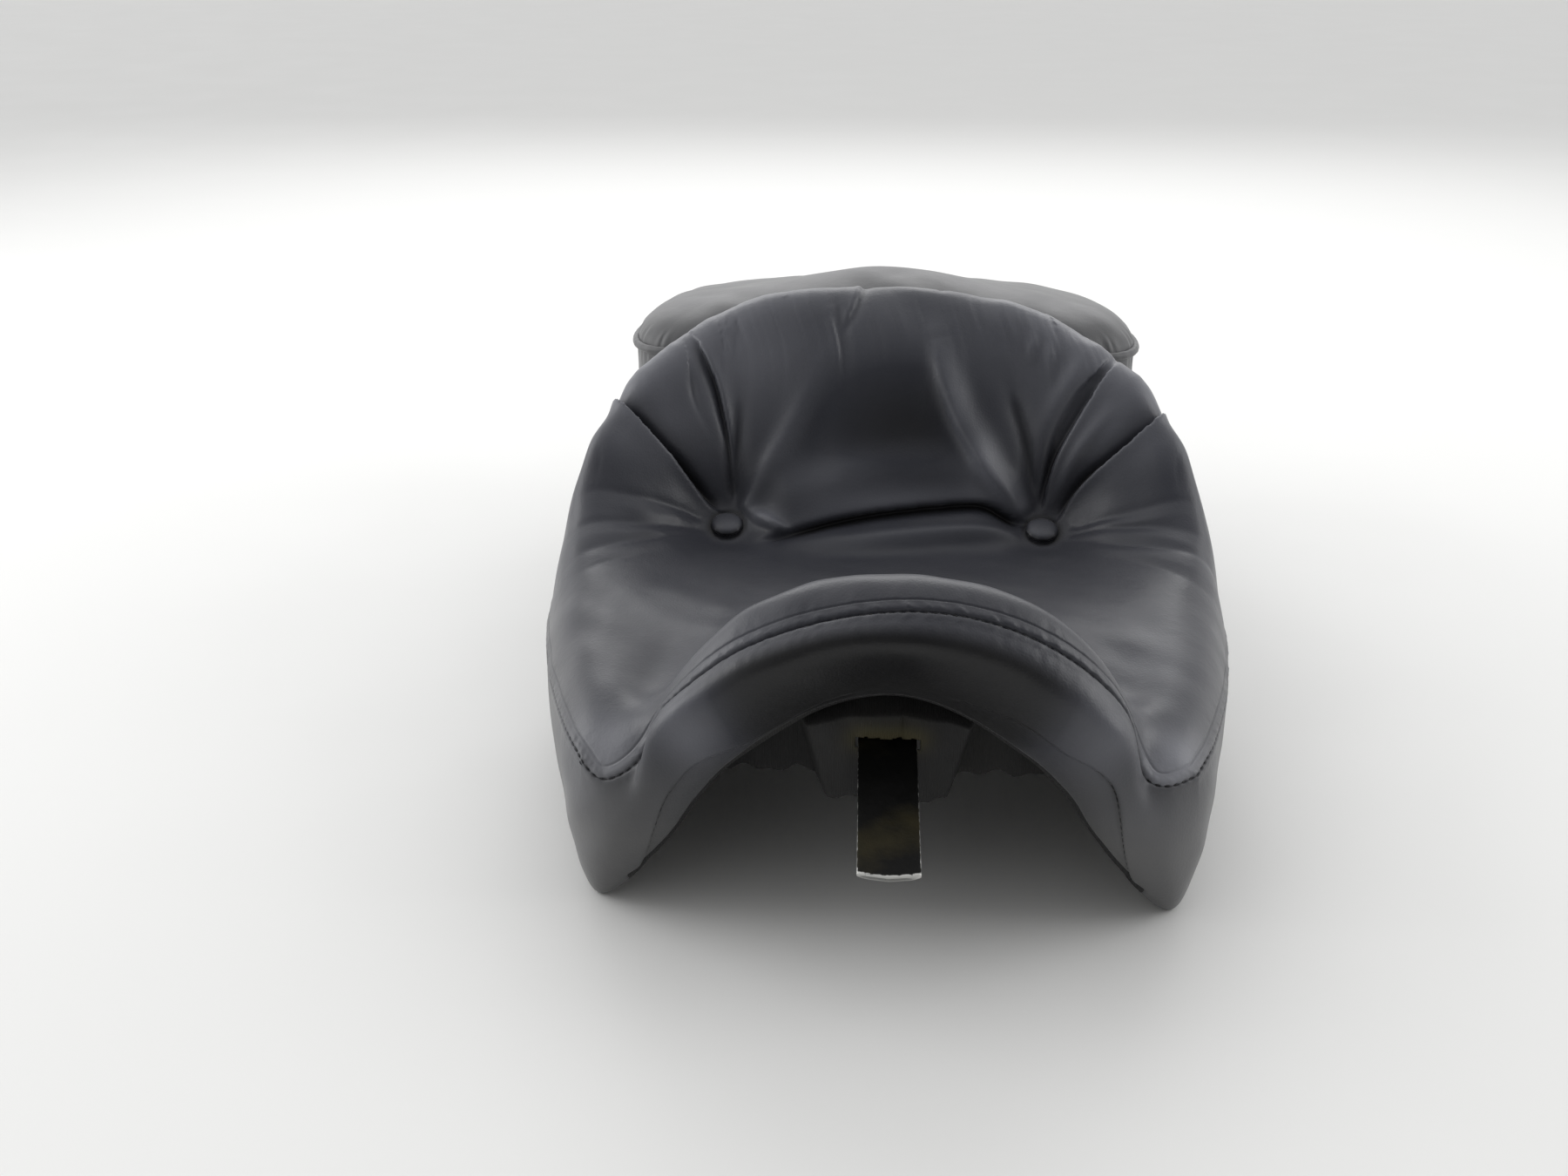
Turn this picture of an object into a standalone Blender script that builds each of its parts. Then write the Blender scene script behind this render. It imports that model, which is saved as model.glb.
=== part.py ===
"""Two-up touring motorcycle seat, at real size and standing on its lower rim.

A moulded pan carries two foam blocks. Sewn cover panels wrap the foam and turn under the rim of the pan,
two covered buttons tuft the rider's seat, and a steel tongue and a tail tab hold the seat on the machine.
Sizes are in millimetres: x across, y back from the front of the nose, z up from the ground line.
"""
from math import pi
from math import radians

import bmesh
import bpy
import numpy as np
from mathutils import Matrix
from mathutils import Vector

# Driving dimensions
METRE = 0.001
ORIGIN = np.array([0.0, 322.85, -2.0])
COVER_THICKNESS = 1.5
FOAM_GAP = 0.7
PAN_THICKNESS = 3.0
PAN_FIT = 0.4
TOUCH_GAP = 0.35
WELT_RADIUS = 3.0
BUTTON_DIAMETER = 22.0
TUFT_DEPTH = 13.0
TUFT_FLAT = 19.0
TUFT_REACH = 48.0
TUFT_LEAN = 30.0
FLOOR_BELOW = -30.0
TONGUE_WIDTH = 31.0
TONGUE_THICKNESS = 3.0
TONGUE_LENGTH = 139.0
TONGUE_SLOPE = 10.5
TAB_WIDTH = 34.0
TAB_THICKNESS = 2.5
TAB_LENGTH = 72.0

# The rider's top panel, in stations from the nose seam back to the crease behind the bolster.
# Each station runs from the centre line to the side seam.
RIDER_STATIONS = [
    [(0, 8, 187), (40, 8, 183), (82, 9, 167), (112, 11, 138),
     (122, 16, 112), (136, 11, 92), (151, 8, 79), (164, 20, 84)],
    [(0, 34, 195), (40, 34, 191), (82, 33, 171), (112, 32, 138),
     (126, 34, 114), (141, 31, 106), (157, 28, 100), (173, 38, 90)],
    [(0, 75, 165), (42, 75, 163), (84, 74, 149), (114, 72, 124),
     (134, 70, 114), (154, 68, 112), (173, 67, 106), (184, 71, 88)],
    [(0, 120, 133), (44, 120, 132), (88, 120, 125), (120, 119, 117),
     (144, 118, 115), (167, 117, 115), (187, 116, 108), (198, 115, 84)],
    [(0, 170, 113), (46, 170, 113), (92, 170, 113), (126, 169, 115),
     (153, 168, 118), (178, 167, 118), (199, 166, 109), (209, 165, 80)],
    [(0, 215, 105), (47, 215, 105), (94, 215, 107), (131, 214, 114),
     (160, 212, 121), (187, 210, 125), (208, 207, 114), (217, 205, 78)],
    [(0, 262, 106), (48, 262, 106), (96, 261, 109), (136, 259, 121),
     (168, 256, 138), (194, 252, 150), (211, 249, 135), (217, 246, 80)],
    [(0, 288, 148), (48, 288, 148), (96, 287, 152), (136, 284, 165),
     (166, 280, 177), (190, 275, 181), (206, 271, 160), (212, 268, 86)],
    [(0, 314, 206), (48, 314, 205), (94, 312, 204), (131, 308, 205),
     (159, 303, 203), (181, 298, 196), (196, 293, 168), (203, 290, 92)],
    [(0, 338, 249), (46, 337, 247), (90, 334, 239), (124, 329, 228),
     (150, 323, 214), (170, 318, 196), (184, 314, 166), (193, 312, 98)],
    [(0, 362, 267), (44, 361, 263), (86, 357, 250), (118, 352, 234),
     (143, 346, 213), (162, 341, 190), (176, 337, 162), (186, 335, 102)],
    [(0, 381, 252), (43, 380, 248), (84, 377, 234), (115, 372, 219),
     (138, 367, 198), (157, 362, 176), (170, 358, 152), (180, 357, 105)],
    [(0, 388, 206), (43, 387, 203), (84, 385, 193), (115, 381, 180),
     (138, 377, 165), (156, 374, 150), (169, 372, 134), (178, 371, 107)],
]
# Lower edge of the skirt: over the arch to the tip of the ear, then back along the rim
ARCH_EDGE = [(0, 12, 134), (38, 12, 120), (64, 13, 102), (83, 15, 87),
             (100, 17, 65), (119, 16, 32), (157, 10, 1), (167, 28, 7)]
RIM_EDGE = [(171, 42, 8), (179, 75, 9), (191, 118, 9), (201, 167, 9), (207, 208, 9), (208, 250, 9),
            (205, 278, 9), (200, 306, 9), (194, 334, 9), (188, 362, 9), (182, 392, 10), (177, 420, 14)]
ARCH_COLUMNS = 6
LAST_FRONT = 7
LAST_BACK = 12
# Outward swell of the two rows between the seam and the lower edge, front columns then rim columns
SKIRT_SWELL = [((0, -10, 2), (0, -15, -3)), ((0, -10, 2), (0, -15, -3)), ((0, -10, 2), (0, -14, -2)),
               ((-2, -10, 2), (-2, -13, 0)), ((0, -13, 2), (0, -13, 0)), ((0, -10, 3), (-2, -12, 0)),
               ((-3, -8, 0), (-3, -9, 0)), ((3, -7, 0), (4, -7, 0)), ((4, -4, 0), (4, -4, 0))]
RIM_SWELL = ((4, 0, 0), (5, 0, 0))
# The turned-under hem: steps from the lower edge to its fold, its middle and its end, along the rim
HEM_STEPS = [(-2.5, 0, -11), (-12, 0, -7), (-23, 0, -3.5)]
# The same three rows where the hem turns the corner at the tip of the ear
EAR_HEM = [[(153, 19, -8), (163, 31, -5), (168, 44, -4)],
           [(147, 30, 0), (154, 37, 1), (158, 48, 1)],
           [(140, 40, 7), (145, 44, 6), (148, 53, 5)]]
# The lining that runs back from the arch's edge to the front of the pan
LINING_FOLD = (0, 8, -3)
LINING_END = 42.0
LINING_SPREAD = 1.05
LINING_LAP = 4.0
LINING_DROP = 1.5
# The pan's arched section along the seat: distance back, half width, rim height, crown height, squareness
PAN_STATIONS = [(44, 150, 12, 124, 1.6), (84, 161, 12, 104, 2.2), (130, 176, 12, 84, 3.0),
                (190, 190, 12, 74, 3.8), (250, 194, 12, 74, 4.2), (310, 184, 12, 84, 4.2),
                (360, 172, 12, 100, 4.0), (400, 164, 12, 112, 4.0), (424, 160, 24, 118, 4.0),
                (452, 160, 108, 124, 4.0), (520, 166, 110, 126, 4.0), (600, 158, 101, 117, 4.0),
                (650, 130, 95, 107, 3.4), (670, 92, 93, 103, 3.0)]
# The pillion's welt line and lower edge in half outline, front to tail
PILLION_WELT = [(0, 396, 205), (70, 396, 204), (135, 398, 202), (172, 408, 200), (187, 440, 198),
                (189, 500, 193), (182, 570, 184), (163, 635, 172), (120, 680, 162), (60, 694, 158),
                (0, 697, 157)]
PILLION_HEM = [(0, 398, 121), (70, 398, 121), (133, 400, 118), (168, 411, 113), (182, 441, 106),
               (184, 500, 105), (177, 568, 99), (158, 631, 93), (116, 674, 91), (58, 688, 91),
               (0, 691, 91)]
PILLION_CENTRE = (0, 535)
PILLION_CROWN = 40.0
PILLION_CREST = 17.0
CREST_PLACE = (0, 470)
CREST_SPREAD = (75, 90)
BAND_SWELL = 5.0
BAND_HEM = [(3, -7), (14, -4)]
WELT_PROUD = 1.5
BUMPERS = [(62, 130), (70, 300), (76, 520)]
STAPLE_COLUMNS = [9, 11, 13, 15, 17]
STAPLE_ROW = 5.4
STAPLE = (10.0, 1.3, 0.7)
# Mesh density across and along each panel
HALF_ACROSS = [0, 0.8, 1.5, 1.95, 2.25, 2.55, 3, 3.7, 4.5, 5.3, 6.1, LAST_FRONT]
TOP_ACROSS = np.array([-place for place in HALF_ACROSS[:0:-1]] + HALF_ACROSS)
TOP_BACK = np.array([0, 0.5, 1, 1.7, 2.5, 3.4, 4.3, 5.2, 6, 6.42, 6.85, 7.3,
                     8, 8.7, 9.4, 10.1, 11, LAST_BACK])
SKIRT_DOWN = np.array([0, 1, 2, 3, 3.7, 4.5, 6.0])
LINING_ROW = 3
TRIM = 0.055
PILLION_ROUND = 28
PAN_ROUND = 13
PAN_ALONG = np.linspace(0, len(PAN_STATIONS) - 1, 18)


def metres(points):
    """Seat millimetres to the part's own frame in metres."""
    return (np.asarray(points, float) - ORIGIN) * METRE


def spline(net, at):
    """Uniform cubic spline along the first axis of a net, its ends on the first and last points."""
    net = np.asarray(net, float)
    padded = np.concatenate([2 * net[:1] - net[1:2], net, 2 * net[-1:] - net[-2:-1]])
    at = np.asarray(at, float)
    first = np.clip(np.floor(at).astype(int), 0, len(net) - 2)
    t = at - first
    weights = [(1 - t) ** 3, 3 * t ** 3 - 6 * t ** 2 + 4, -3 * t ** 3 + 3 * t ** 2 + 3 * t + 1, t ** 3]
    shape = (-1,) + (1,) * (net.ndim - 1)
    return sum(w.reshape(shape) * padded[first + k] for k, w in enumerate(weights)) / 6


def loft(net, along, across):
    """Grid of points on the spline surface of a net, one row for each value of along."""
    rows = spline(net, along)
    return spline(rows.transpose(1, 0, 2), across).transpose(1, 0, 2)


def both_sides(half):
    """A half row from the centre outwards, with its mirror image put before it."""
    half = np.array(half, float)
    return np.vstack([half[:0:-1] * [-1, 1, 1], half])


# The pan's arch
PAN_NET = np.array(PAN_STATIONS, float)
PAN_FINE = np.linspace(0, len(PAN_NET) - 1, 400)


def pan_section(back):
    """Half width, rim, crown and squareness of the pan at a distance back from the nose."""
    at = np.interp(back, spline(PAN_NET, PAN_FINE)[:, 0], PAN_FINE)
    return spline(PAN_NET, [at])[0, 1:]


def pan_height(x, back):
    """Height of the pan's upper face at a point in plan."""
    width, rim, crown, square = pan_section(back)
    return rim + (crown - rim) * (1 - min(abs(x) / width, 1) ** square) ** (1 / square)


def pan_down(x, back):
    """Unit direction square to the pan's face at a point in plan, pointing to its underside."""
    step = 2.0
    slope_x = (pan_height(x + step, back) - pan_height(x - step, back)) / (2 * step)
    slope_y = (pan_height(x, back + step) - pan_height(x, back - step)) / (2 * step)
    down = np.array([slope_x, slope_y, -1.0])
    return down / np.linalg.norm(down)


def pan_arch(along, count, grow=0.0, leg=None):
    """Superellipse arches along the seat, grown by a distance, with legs down to a given height."""
    rows = []
    for at in along:
        back, width, rim, crown, square = spline(PAN_NET, [at])[0]
        turn = np.linspace(0, pi, count)
        x = (width + grow) * np.sign(-np.cos(turn)) * np.abs(np.cos(turn)) ** (2 / square)
        z = rim + (crown - rim + grow) * np.abs(np.sin(turn)) ** (2 / square)
        row = np.stack([x, np.full(count, back), z], -1)
        if leg is not None:
            ends = row[[0, -1]] * [1, 1, 0] + [0, 0, leg]
            row = np.vstack([ends[:1], row, ends[1:]])
        rows.append(row)
    return np.array(rows)


# The rider's skin
RIDER_NET = np.array([both_sides(row) for row in RIDER_STATIONS])
TUFT_PLACE = (2.25, 6.42)
TUFT_AXIS = np.array([0.0, -np.sin(radians(TUFT_LEAN)), np.cos(radians(TUFT_LEAN))])
TUFT_COLUMNS = [LAST_FRONT - TUFT_PLACE[0], LAST_FRONT + TUFT_PLACE[0]]
TUFT_CENTRES = loft(RIDER_NET, [TUFT_PLACE[1]], TUFT_COLUMNS)[0]


def top_panel(across, back):
    """The rider's top panel with its two tufts drawn in along the button's axis."""
    points = loft(RIDER_NET, back, np.asarray(across) + LAST_FRONT)
    for centre in TUFT_CENTRES:
        height = (points - centre) @ TUFT_AXIS
        aside = np.linalg.norm(points - centre - height[..., None] * TUFT_AXIS, axis=-1)
        ease = np.clip((TUFT_REACH - aside) / (TUFT_REACH - TUFT_FLAT), 0, 1)
        pull = (height + TUFT_DEPTH) * ease ** 2 * (3 - 2 * ease)
        points = points - pull[..., None] * TUFT_AXIS
    return points


def skirt_net():
    """Rows from the seam to the lower edge and under it, in columns from the nose to the rear edge."""
    seam = np.array(RIDER_STATIONS[0] + [row[-1] for row in RIDER_STATIONS[1:]], float)
    edge = np.array(ARCH_EDGE + RIM_EDGE, float)
    swell = np.array(SKIRT_SWELL + [RIM_SWELL] * (len(edge) - len(SKIRT_SWELL)), float)
    upper = seam * 2 / 3 + edge / 3 + swell[:, 0]
    lower = seam / 3 + edge * 2 / 3 + swell[:, 1]
    fold, under, end = (edge + step for step in HEM_STEPS)
    for column in range(ARCH_COLUMNS):
        x = edge[column, 0] * LINING_SPREAD
        fold[column] = edge[column] + LINING_FOLD
        end[column] = (x, LINING_END, pan_height(x, LINING_END + LINING_LAP) - LINING_DROP)
        under[column] = (fold[column] + end[column]) / 2
    for row, corner in zip((fold, under, end), EAR_HEM):
        row[ARCH_COLUMNS:ARCH_COLUMNS + len(corner)] = corner
    return np.array([both_sides(row) for row in (seam, upper, lower, edge, fold, under, end)])


SKIRT_NET = skirt_net()
LAST_COLUMN = LAST_FRONT + LAST_BACK


def seam_line(columns):
    """The top panel's sewn edge: down the left side, round the nose and back along the right side."""
    columns = np.asarray(columns, float)
    front = top_panel(np.clip(columns, -LAST_FRONT, LAST_FRONT), [0])[0]
    back = np.clip(np.abs(columns) - LAST_FRONT, 0, LAST_BACK)
    side = top_panel([LAST_FRONT], back)[:, 0]
    side[:, 0] *= np.sign(columns)
    return np.where((np.abs(columns) > LAST_FRONT)[:, None], side, front)


def skirt(columns, down):
    """The skirt below the seam, brought onto the seam along its top row."""
    points = loft(SKIRT_NET, down, np.asarray(columns) + LAST_COLUMN)
    lift = seam_line(columns) - loft(SKIRT_NET, [0], np.asarray(columns) + LAST_COLUMN)[0]
    fade = np.clip(1 - np.asarray(down), 0, 1) ** 2
    return points + fade[:, None, None] * lift


# The pillion's skin
def pillion_ring(half):
    """A closed smooth ring through a half outline, evenly divided, starting at the front centre."""
    half = np.array(half, float)
    ring = np.vstack([half, half[-2:0:-1] * [-1, 1, 1]])
    wrapped = np.vstack([ring[-2:], ring, ring[:3]])
    return spline(wrapped, 2 + np.linspace(0, len(ring), PILLION_ROUND + 1))


def pillion_top(reach):
    """The pillion's crowned top: rings drawn towards the middle, from the centre out to the welt."""
    welt = pillion_ring(PILLION_WELT)
    centre = np.array(PILLION_CENTRE)
    (_, front, front_level), (_, tail, tail_level) = PILLION_WELT[0], PILLION_WELT[-1]
    slope = (tail_level - front_level) / (tail - front)
    sewn = welt[:, 2] - front_level - slope * (welt[:, 1] - front)
    rings = []
    for share in reach:
        plan = centre + share * (welt[:, :2] - centre)
        level = front_level + slope * (plan[:, 1] - front) + sewn * share ** 4
        crest = np.exp(-np.sum(((plan - CREST_PLACE) / CREST_SPREAD) ** 2, axis=1))
        swell = PILLION_CROWN * np.sqrt(1 - share ** 4) + PILLION_CREST * crest * (1 - share ** 4)
        rings.append(np.column_stack([plan, level + swell]))
    return np.array(rings)


def pillion_band(down):
    """The pillion's side band from the welt to its lower edge and on under it."""
    welt = pillion_ring(PILLION_WELT)
    hem = pillion_ring(PILLION_HEM)
    inward = np.column_stack([np.array(PILLION_CENTRE) - hem[:, :2], np.zeros(len(hem))])
    inward /= np.linalg.norm(inward, axis=1, keepdims=True)
    turned_under = [hem + inward * step + [0, 0, rise] for step, rise in BAND_HEM]
    rows = [welt, (welt + hem) / 2 - inward * BAND_SWELL, hem] + turned_under
    return spline(np.array(rows), down)


# Scene, collections and materials
for thing in list(bpy.data.objects):
    bpy.data.objects.remove(thing, do_unlink=True)
SEAT = bpy.data.collections.new("motorcycle_seat")
CUTTERS = bpy.data.collections.new("seat_cutters")
CUTTERS.hide_render = True
for collection in (SEAT, CUTTERS):
    bpy.context.scene.collection.children.link(collection)
ROOT = bpy.data.objects.new("seat_root", None)
SEAT.objects.link(ROOT)


def finish(name, colour, roughness, metallic=0.0):
    """A plain finish for one kind of piece."""
    made = bpy.data.materials.new(name)
    made.use_nodes = True
    shader = made.node_tree.nodes["Principled BSDF"]
    shader.inputs["Base Color"].default_value = (*colour, 1)
    shader.inputs["Roughness"].default_value = roughness
    shader.inputs["Metallic"].default_value = metallic
    return made


VINYL = finish("black_vinyl", (0.018, 0.018, 0.022), 0.42)
LINING = finish("dull_lining", (0.02, 0.02, 0.02), 0.7)
FOAM = finish("moulded_foam", (0.55, 0.5, 0.4), 0.95)
PAN_PLASTIC = finish("pan_plastic", (0.012, 0.012, 0.013), 0.6)
PAINTED_STEEL = finish("painted_steel", (0.015, 0.015, 0.014), 0.45, 0.4)
ZINC = finish("zinc_plate", (0.5, 0.5, 0.48), 0.4, 1.0)
RUBBER = finish("black_rubber", (0.02, 0.02, 0.02), 0.85)
TWINE = finish("waxed_twine", (0.3, 0.25, 0.17), 0.8)


def add(name, data, look, cutter=False):
    """Links an object for a piece of the seat, or for a cutter, under the root."""
    made = bpy.data.objects.new(name, data)
    (CUTTERS if cutter else SEAT).objects.link(made)
    if cutter:
        made.hide_render = True
        made.display_type = "WIRE"
    else:
        made.parent = ROOT
        data.materials.append(look)
    return made


def grid_into(bm, points, flip=False):
    """Puts a grid of points into a mesh as triangle pairs, so that parallel sheets bend alike."""
    rows, columns = points.shape[:2]
    before = len(bm.verts)
    bmesh.ops.create_grid(bm, x_segments=columns - 1, y_segments=rows - 1, size=1)
    bm.verts.ensure_lookup_table()
    for vertex, place in zip(bm.verts[before:], metres(points).reshape(-1, 3)):
        vertex.co = place
    fresh = set(bm.verts[before:])
    sheet_faces = [face for face in bm.faces if face.verts[0] in fresh]
    halves = bmesh.ops.triangulate(bm, faces=sheet_faces, quad_method="FIXED")["faces"]
    if flip:
        bmesh.ops.reverse_faces(bm, faces=halves)


SHARP_ANGLE = radians(40)
TINY = 1e-5


def to_mesh(bm, name):
    """A smooth-shaded mesh of a bmesh, with its doubles merged."""
    bmesh.ops.remove_doubles(bm, verts=bm.verts, dist=TINY / 10)
    mesh = bpy.data.meshes.new(name)
    bm.to_mesh(mesh)
    bm.free()
    mesh.shade_smooth()
    mesh.set_sharp_from_angle(angle=SHARP_ANGLE)
    return mesh


def sheet(name, points, look, thickness=COVER_THICKNESS, flip=False):
    """A panel of even thickness, grown inwards from its outer face."""
    bm = bmesh.new()
    grid_into(bm, points, flip)
    made = add(name, to_mesh(bm, name), look)
    solid = made.modifiers.new("thickness", "SOLIDIFY")
    solid.thickness = thickness * METRE
    solid.offset = -1
    return made


def cut(target, cutter, operation="DIFFERENCE"):
    """Cuts a cutter from a piece, or joins it on."""
    boolean = target.modifiers.new(operation.lower(), "BOOLEAN")
    boolean.operation = operation
    boolean.object = cutter
    boolean.solver = "EXACT"


def closed_across(bm):
    """Closes a symmetric open skin by strips from its right-hand edge to its left-hand edge."""
    edge_verts = [vertex for vertex in bm.verts if vertex.is_boundary]
    middle = [vertex for vertex in edge_verts if abs(vertex.co.x) < TINY]
    middle.sort(key=lambda vertex: vertex.co.y)
    walk = [middle[0]]
    while walk[-1] is not middle[-1]:
        ways = [edge.other_vert(walk[-1]) for edge in walk[-1].link_edges if edge.is_boundary]
        walk.append(next(way for way in ways if way not in walk and way.co.x > -TINY))
    flipped = np.array([vertex.co for vertex in edge_verts]) * [-1, 1, 1]
    mirror = [edge_verts[np.argmin(np.linalg.norm(flipped - vertex.co, axis=1))] for vertex in walk]
    for here, there in zip(range(len(walk) - 1), range(1, len(walk))):
        corners = [walk[here], walk[there], mirror[there], mirror[here]]
        bm.faces.new(list(dict.fromkeys(corners)))
    bmesh.ops.recalc_face_normals(bm, faces=bm.faces)


def foam_block(name, sheets):
    """A foam block just inside its cover: the cover's sheets joined, drawn in and closed underneath."""
    bm = bmesh.new()
    for points, flip in sheets:
        grid_into(bm, points, flip)
    bmesh.ops.remove_doubles(bm, verts=bm.verts, dist=2 * TINY)
    bm.normal_update()
    inset = (COVER_THICKNESS + FOAM_GAP) * METRE
    places = [vertex.co - vertex.normal * inset for vertex in bm.verts]
    for vertex, place in zip(bm.verts, places):
        if abs(vertex.co.x) < TINY / 10:
            place.x = 0
        vertex.co = place
    closed_across(bm)
    return add(name, to_mesh(bm, name), FOAM)


def solid_arch(name, grow, ahead=()):
    """A closed volume under the pan's arch, with narrower sections ahead, for cutting and trimming."""
    rows = pan_arch(PAN_ALONG, PAN_ROUND, grow, FLOOR_BELOW)
    if ahead:
        nose = np.array([rows[0] * [scale, 1, scale] - [0, step, 0] for scale, step in ahead])
        rows = np.concatenate([nose, rows, rows[-1:] + [0, PAN_THICKNESS, 0]])
    bm = bmesh.new()
    grid_into(bm, np.concatenate([rows, rows[:, :1]], 1))
    bmesh.ops.remove_doubles(bm, verts=bm.verts, dist=TINY / 10)
    bmesh.ops.holes_fill(bm, edges=[edge for edge in bm.edges if edge.is_boundary], sides=0)
    bmesh.ops.recalc_face_normals(bm, faces=bm.faces)
    return add(name, to_mesh(bm, name), None, cutter=True)


def rods(name, ends, radius, sides=16):
    """Straight round rods between pairs of points, as one cutter."""
    bm = bmesh.new()
    for start, end in ends:
        start, end = Vector(metres(start)), Vector(metres(end))
        turn = (end - start).to_track_quat("Z", "Y").to_matrix().to_4x4()
        place = Matrix.Translation((start + end) / 2) @ turn
        thick = radius * METRE
        bmesh.ops.create_cone(bm, cap_ends=True, segments=sides, radius1=thick, radius2=thick,
                              depth=(end - start).length, matrix=place)
    return add(name, to_mesh(bm, name), None, cutter=True)


def turned(name, profile, look, place, axis, steps=20):
    """A round piece turned about its own axis from a profile of radius and height, top to bottom."""
    mesh = bpy.data.meshes.new(name)
    points = [(radius * METRE, 0, height * METRE) for radius, height in profile]
    mesh.from_pydata(points, [(k, k + 1) for k in range(len(points) - 1)], [])
    made = add(name, mesh, look)
    screw = made.modifiers.new("turn", "SCREW")
    screw.steps = steps
    screw.render_steps = steps
    screw.use_merge_vertices = True
    screw.merge_threshold = TINY
    made.location = metres(place)
    made.rotation_euler = Vector(axis).to_track_quat("Z", "Y").to_euler()
    return made


HOLE_SIDES = 16


def plate(name, outline, holes, thickness, look, place, slope):
    """A flat steel plate with round holes, tipped down towards the front."""
    curve = bpy.data.curves.new(name, "CURVE")
    curve.dimensions = "2D"
    curve.fill_mode = "BOTH"
    curve.extrude = thickness * METRE / 2
    turn = np.linspace(0, 2 * pi, HOLE_SIDES, endpoint=False)
    rings = [[(x + r * np.cos(t), y + r * np.sin(t)) for t in turn] for x, y, r in holes]
    for ring in [outline] + rings:
        line = curve.splines.new("POLY")
        line.points.add(len(ring) - 1)
        for point, (x, y) in zip(line.points, ring):
            point.co = (x * METRE, y * METRE, 0, 1)
        line.use_cyclic_u = True
    made = add(name, curve, look)
    made.location = metres(place)
    made.rotation_euler = (radians(slope), 0, 0)
    return made


# Base pan: an arched moulding with a tongue boss under its front and stiffening ribs
base_pan = sheet("base_pan", pan_arch(PAN_ALONG, PAN_ROUND), PAN_PLASTIC, PAN_THICKNESS)
inside_skin = solid_arch("inside_skin", -PAN_THICKNESS / 2)
RIB_DEPTH = 11.0
below_ribs = solid_arch("below_ribs", -RIB_DEPTH)
TONGUE_ROOT = np.array([0.0, 48.0, 98.0])
TAB_PLACE = np.array([0.0, 676.0, 80.0])
TAB_SLOPE = -20.0
TAB_LINE = np.array([0.0, np.cos(radians(TAB_SLOPE)), np.sin(radians(TAB_SLOPE))])
TAB_UP = np.array([0.0, -np.sin(radians(TAB_SLOPE)), np.cos(radians(TAB_SLOPE))])
SLOPE_LINE = np.array([0.0, np.cos(radians(TONGUE_SLOPE)), np.sin(radians(TONGUE_SLOPE))])
SLOPE_UP = np.array([0.0, -np.sin(radians(TONGUE_SLOPE)), np.cos(radians(TONGUE_SLOPE))])
TONGUE_FACE = SLOPE_UP * (TONGUE_THICKNESS / 2 + TOUCH_GAP)
TAB_FACE = TAB_UP * (TAB_THICKNESS / 2 + TOUCH_GAP)


def block(name, corners):
    """A block from four lower corners and four upper corners, trimmed to stay inside the pan's skin."""
    bm = bmesh.new()
    bmesh.ops.create_cube(bm, size=1)
    for vertex in bm.verts:
        key = (vertex.co.x > 0, vertex.co.y > 0, vertex.co.z > 0)
        vertex.co = metres(corners[key])
    made = add(name, to_mesh(bm, name), None, cutter=True)
    cut(made, inside_skin, "INTERSECT")
    return made


def boss_corners():
    """The tongue boss: wide where it leaves the pan, narrow at its sloping foot."""
    top, foot = 39.0, 25.0
    front, rear, roof = 46.0, 71.0, 140.0
    corners = {}
    for right in (False, True):
        for behind in (False, True):
            y = rear if behind else front
            side = 1 if right else -1
            low = TONGUE_ROOT + SLOPE_LINE * (y - TONGUE_ROOT[1]) + TONGUE_FACE
            corners[(right, behind, False)] = (side * foot, low[1], low[2])
            corners[(right, behind, True)] = (side * top, y, roof)
    return corners


def tail_corners():
    """The tail boss: a short block whose foot lies along the tail tab."""
    side, front, rear, roof = 21.0, 636.0, 664.0, 140.0
    corners = {}
    for right in (False, True):
        for behind in (False, True):
            x = side if right else -side
            y = rear if behind else front
            low = TAB_PLACE + TAB_LINE * (y - TAB_PLACE[1]) + TAB_FACE
            corners[(right, behind, False)] = (x, low[1], low[2])
            corners[(right, behind, True)] = (x, y, roof)
    return corners


def slab_corners(low, high):
    """The corners of an upright slab between two opposite points."""
    across, along, up = zip(low, high)
    return {(a, b, c): (across[a], along[b], up[c]) for a in (0, 1) for b in (0, 1) for c in (0, 1)}


cut(base_pan, block("tongue_boss", boss_corners()), "UNION")
cut(base_pan, block("tail_boss", tail_corners()), "UNION")
RIB_WIDTH = 2.6
RIB_ASIDE = 48.0
RIB_FRONT, RIB_REAR = 110.0, 400.0
RIB_FLOOR, RIB_ROOF = -20.0, 160.0
for side, name in ((-1, "left_rib"), (1, "right_rib")):
    inner = side * RIB_ASIDE - RIB_WIDTH / 2
    rib = block(name, slab_corners((inner, RIB_FRONT, RIB_FLOOR), (inner + RIB_WIDTH, RIB_REAR, RIB_ROOF)))
    cut(rib, below_ribs)
    cut(base_pan, rib, "UNION")

# Rider's foam, cover panels and lining, meeting at the sewn seams
SKIRT_COLUMNS = np.concatenate([-LAST_FRONT - TOP_BACK[:0:-1], TOP_ACROSS, LAST_FRONT + TOP_BACK[1:]])
NOSE_ROOM = [(0.6, 60), (0.8, 20), (1, 4)]
foam_room = solid_arch("foam_room", PAN_FIT, NOSE_ROOM)
LINING_CLEARANCE = 6.0
foam_skirt = skirt(SKIRT_COLUMNS, SKIRT_DOWN)
past_lining = np.where(np.abs(SKIRT_COLUMNS) < LAST_FRONT, LINING_CLEARANCE, 0)
foam_skirt = np.concatenate([foam_skirt, foam_skirt[-1:] + past_lining[:, None] * np.array([0, 1, 0])])
for rear_edge in (0, -1):
    foam_skirt[LINING_ROW:, rear_edge] = foam_skirt[LINING_ROW, rear_edge]
rider_foam = foam_block("rider_foam", [(top_panel(TOP_ACROSS, TOP_BACK), False), (foam_skirt, True)])
cut(rider_foam, foam_room)


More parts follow.
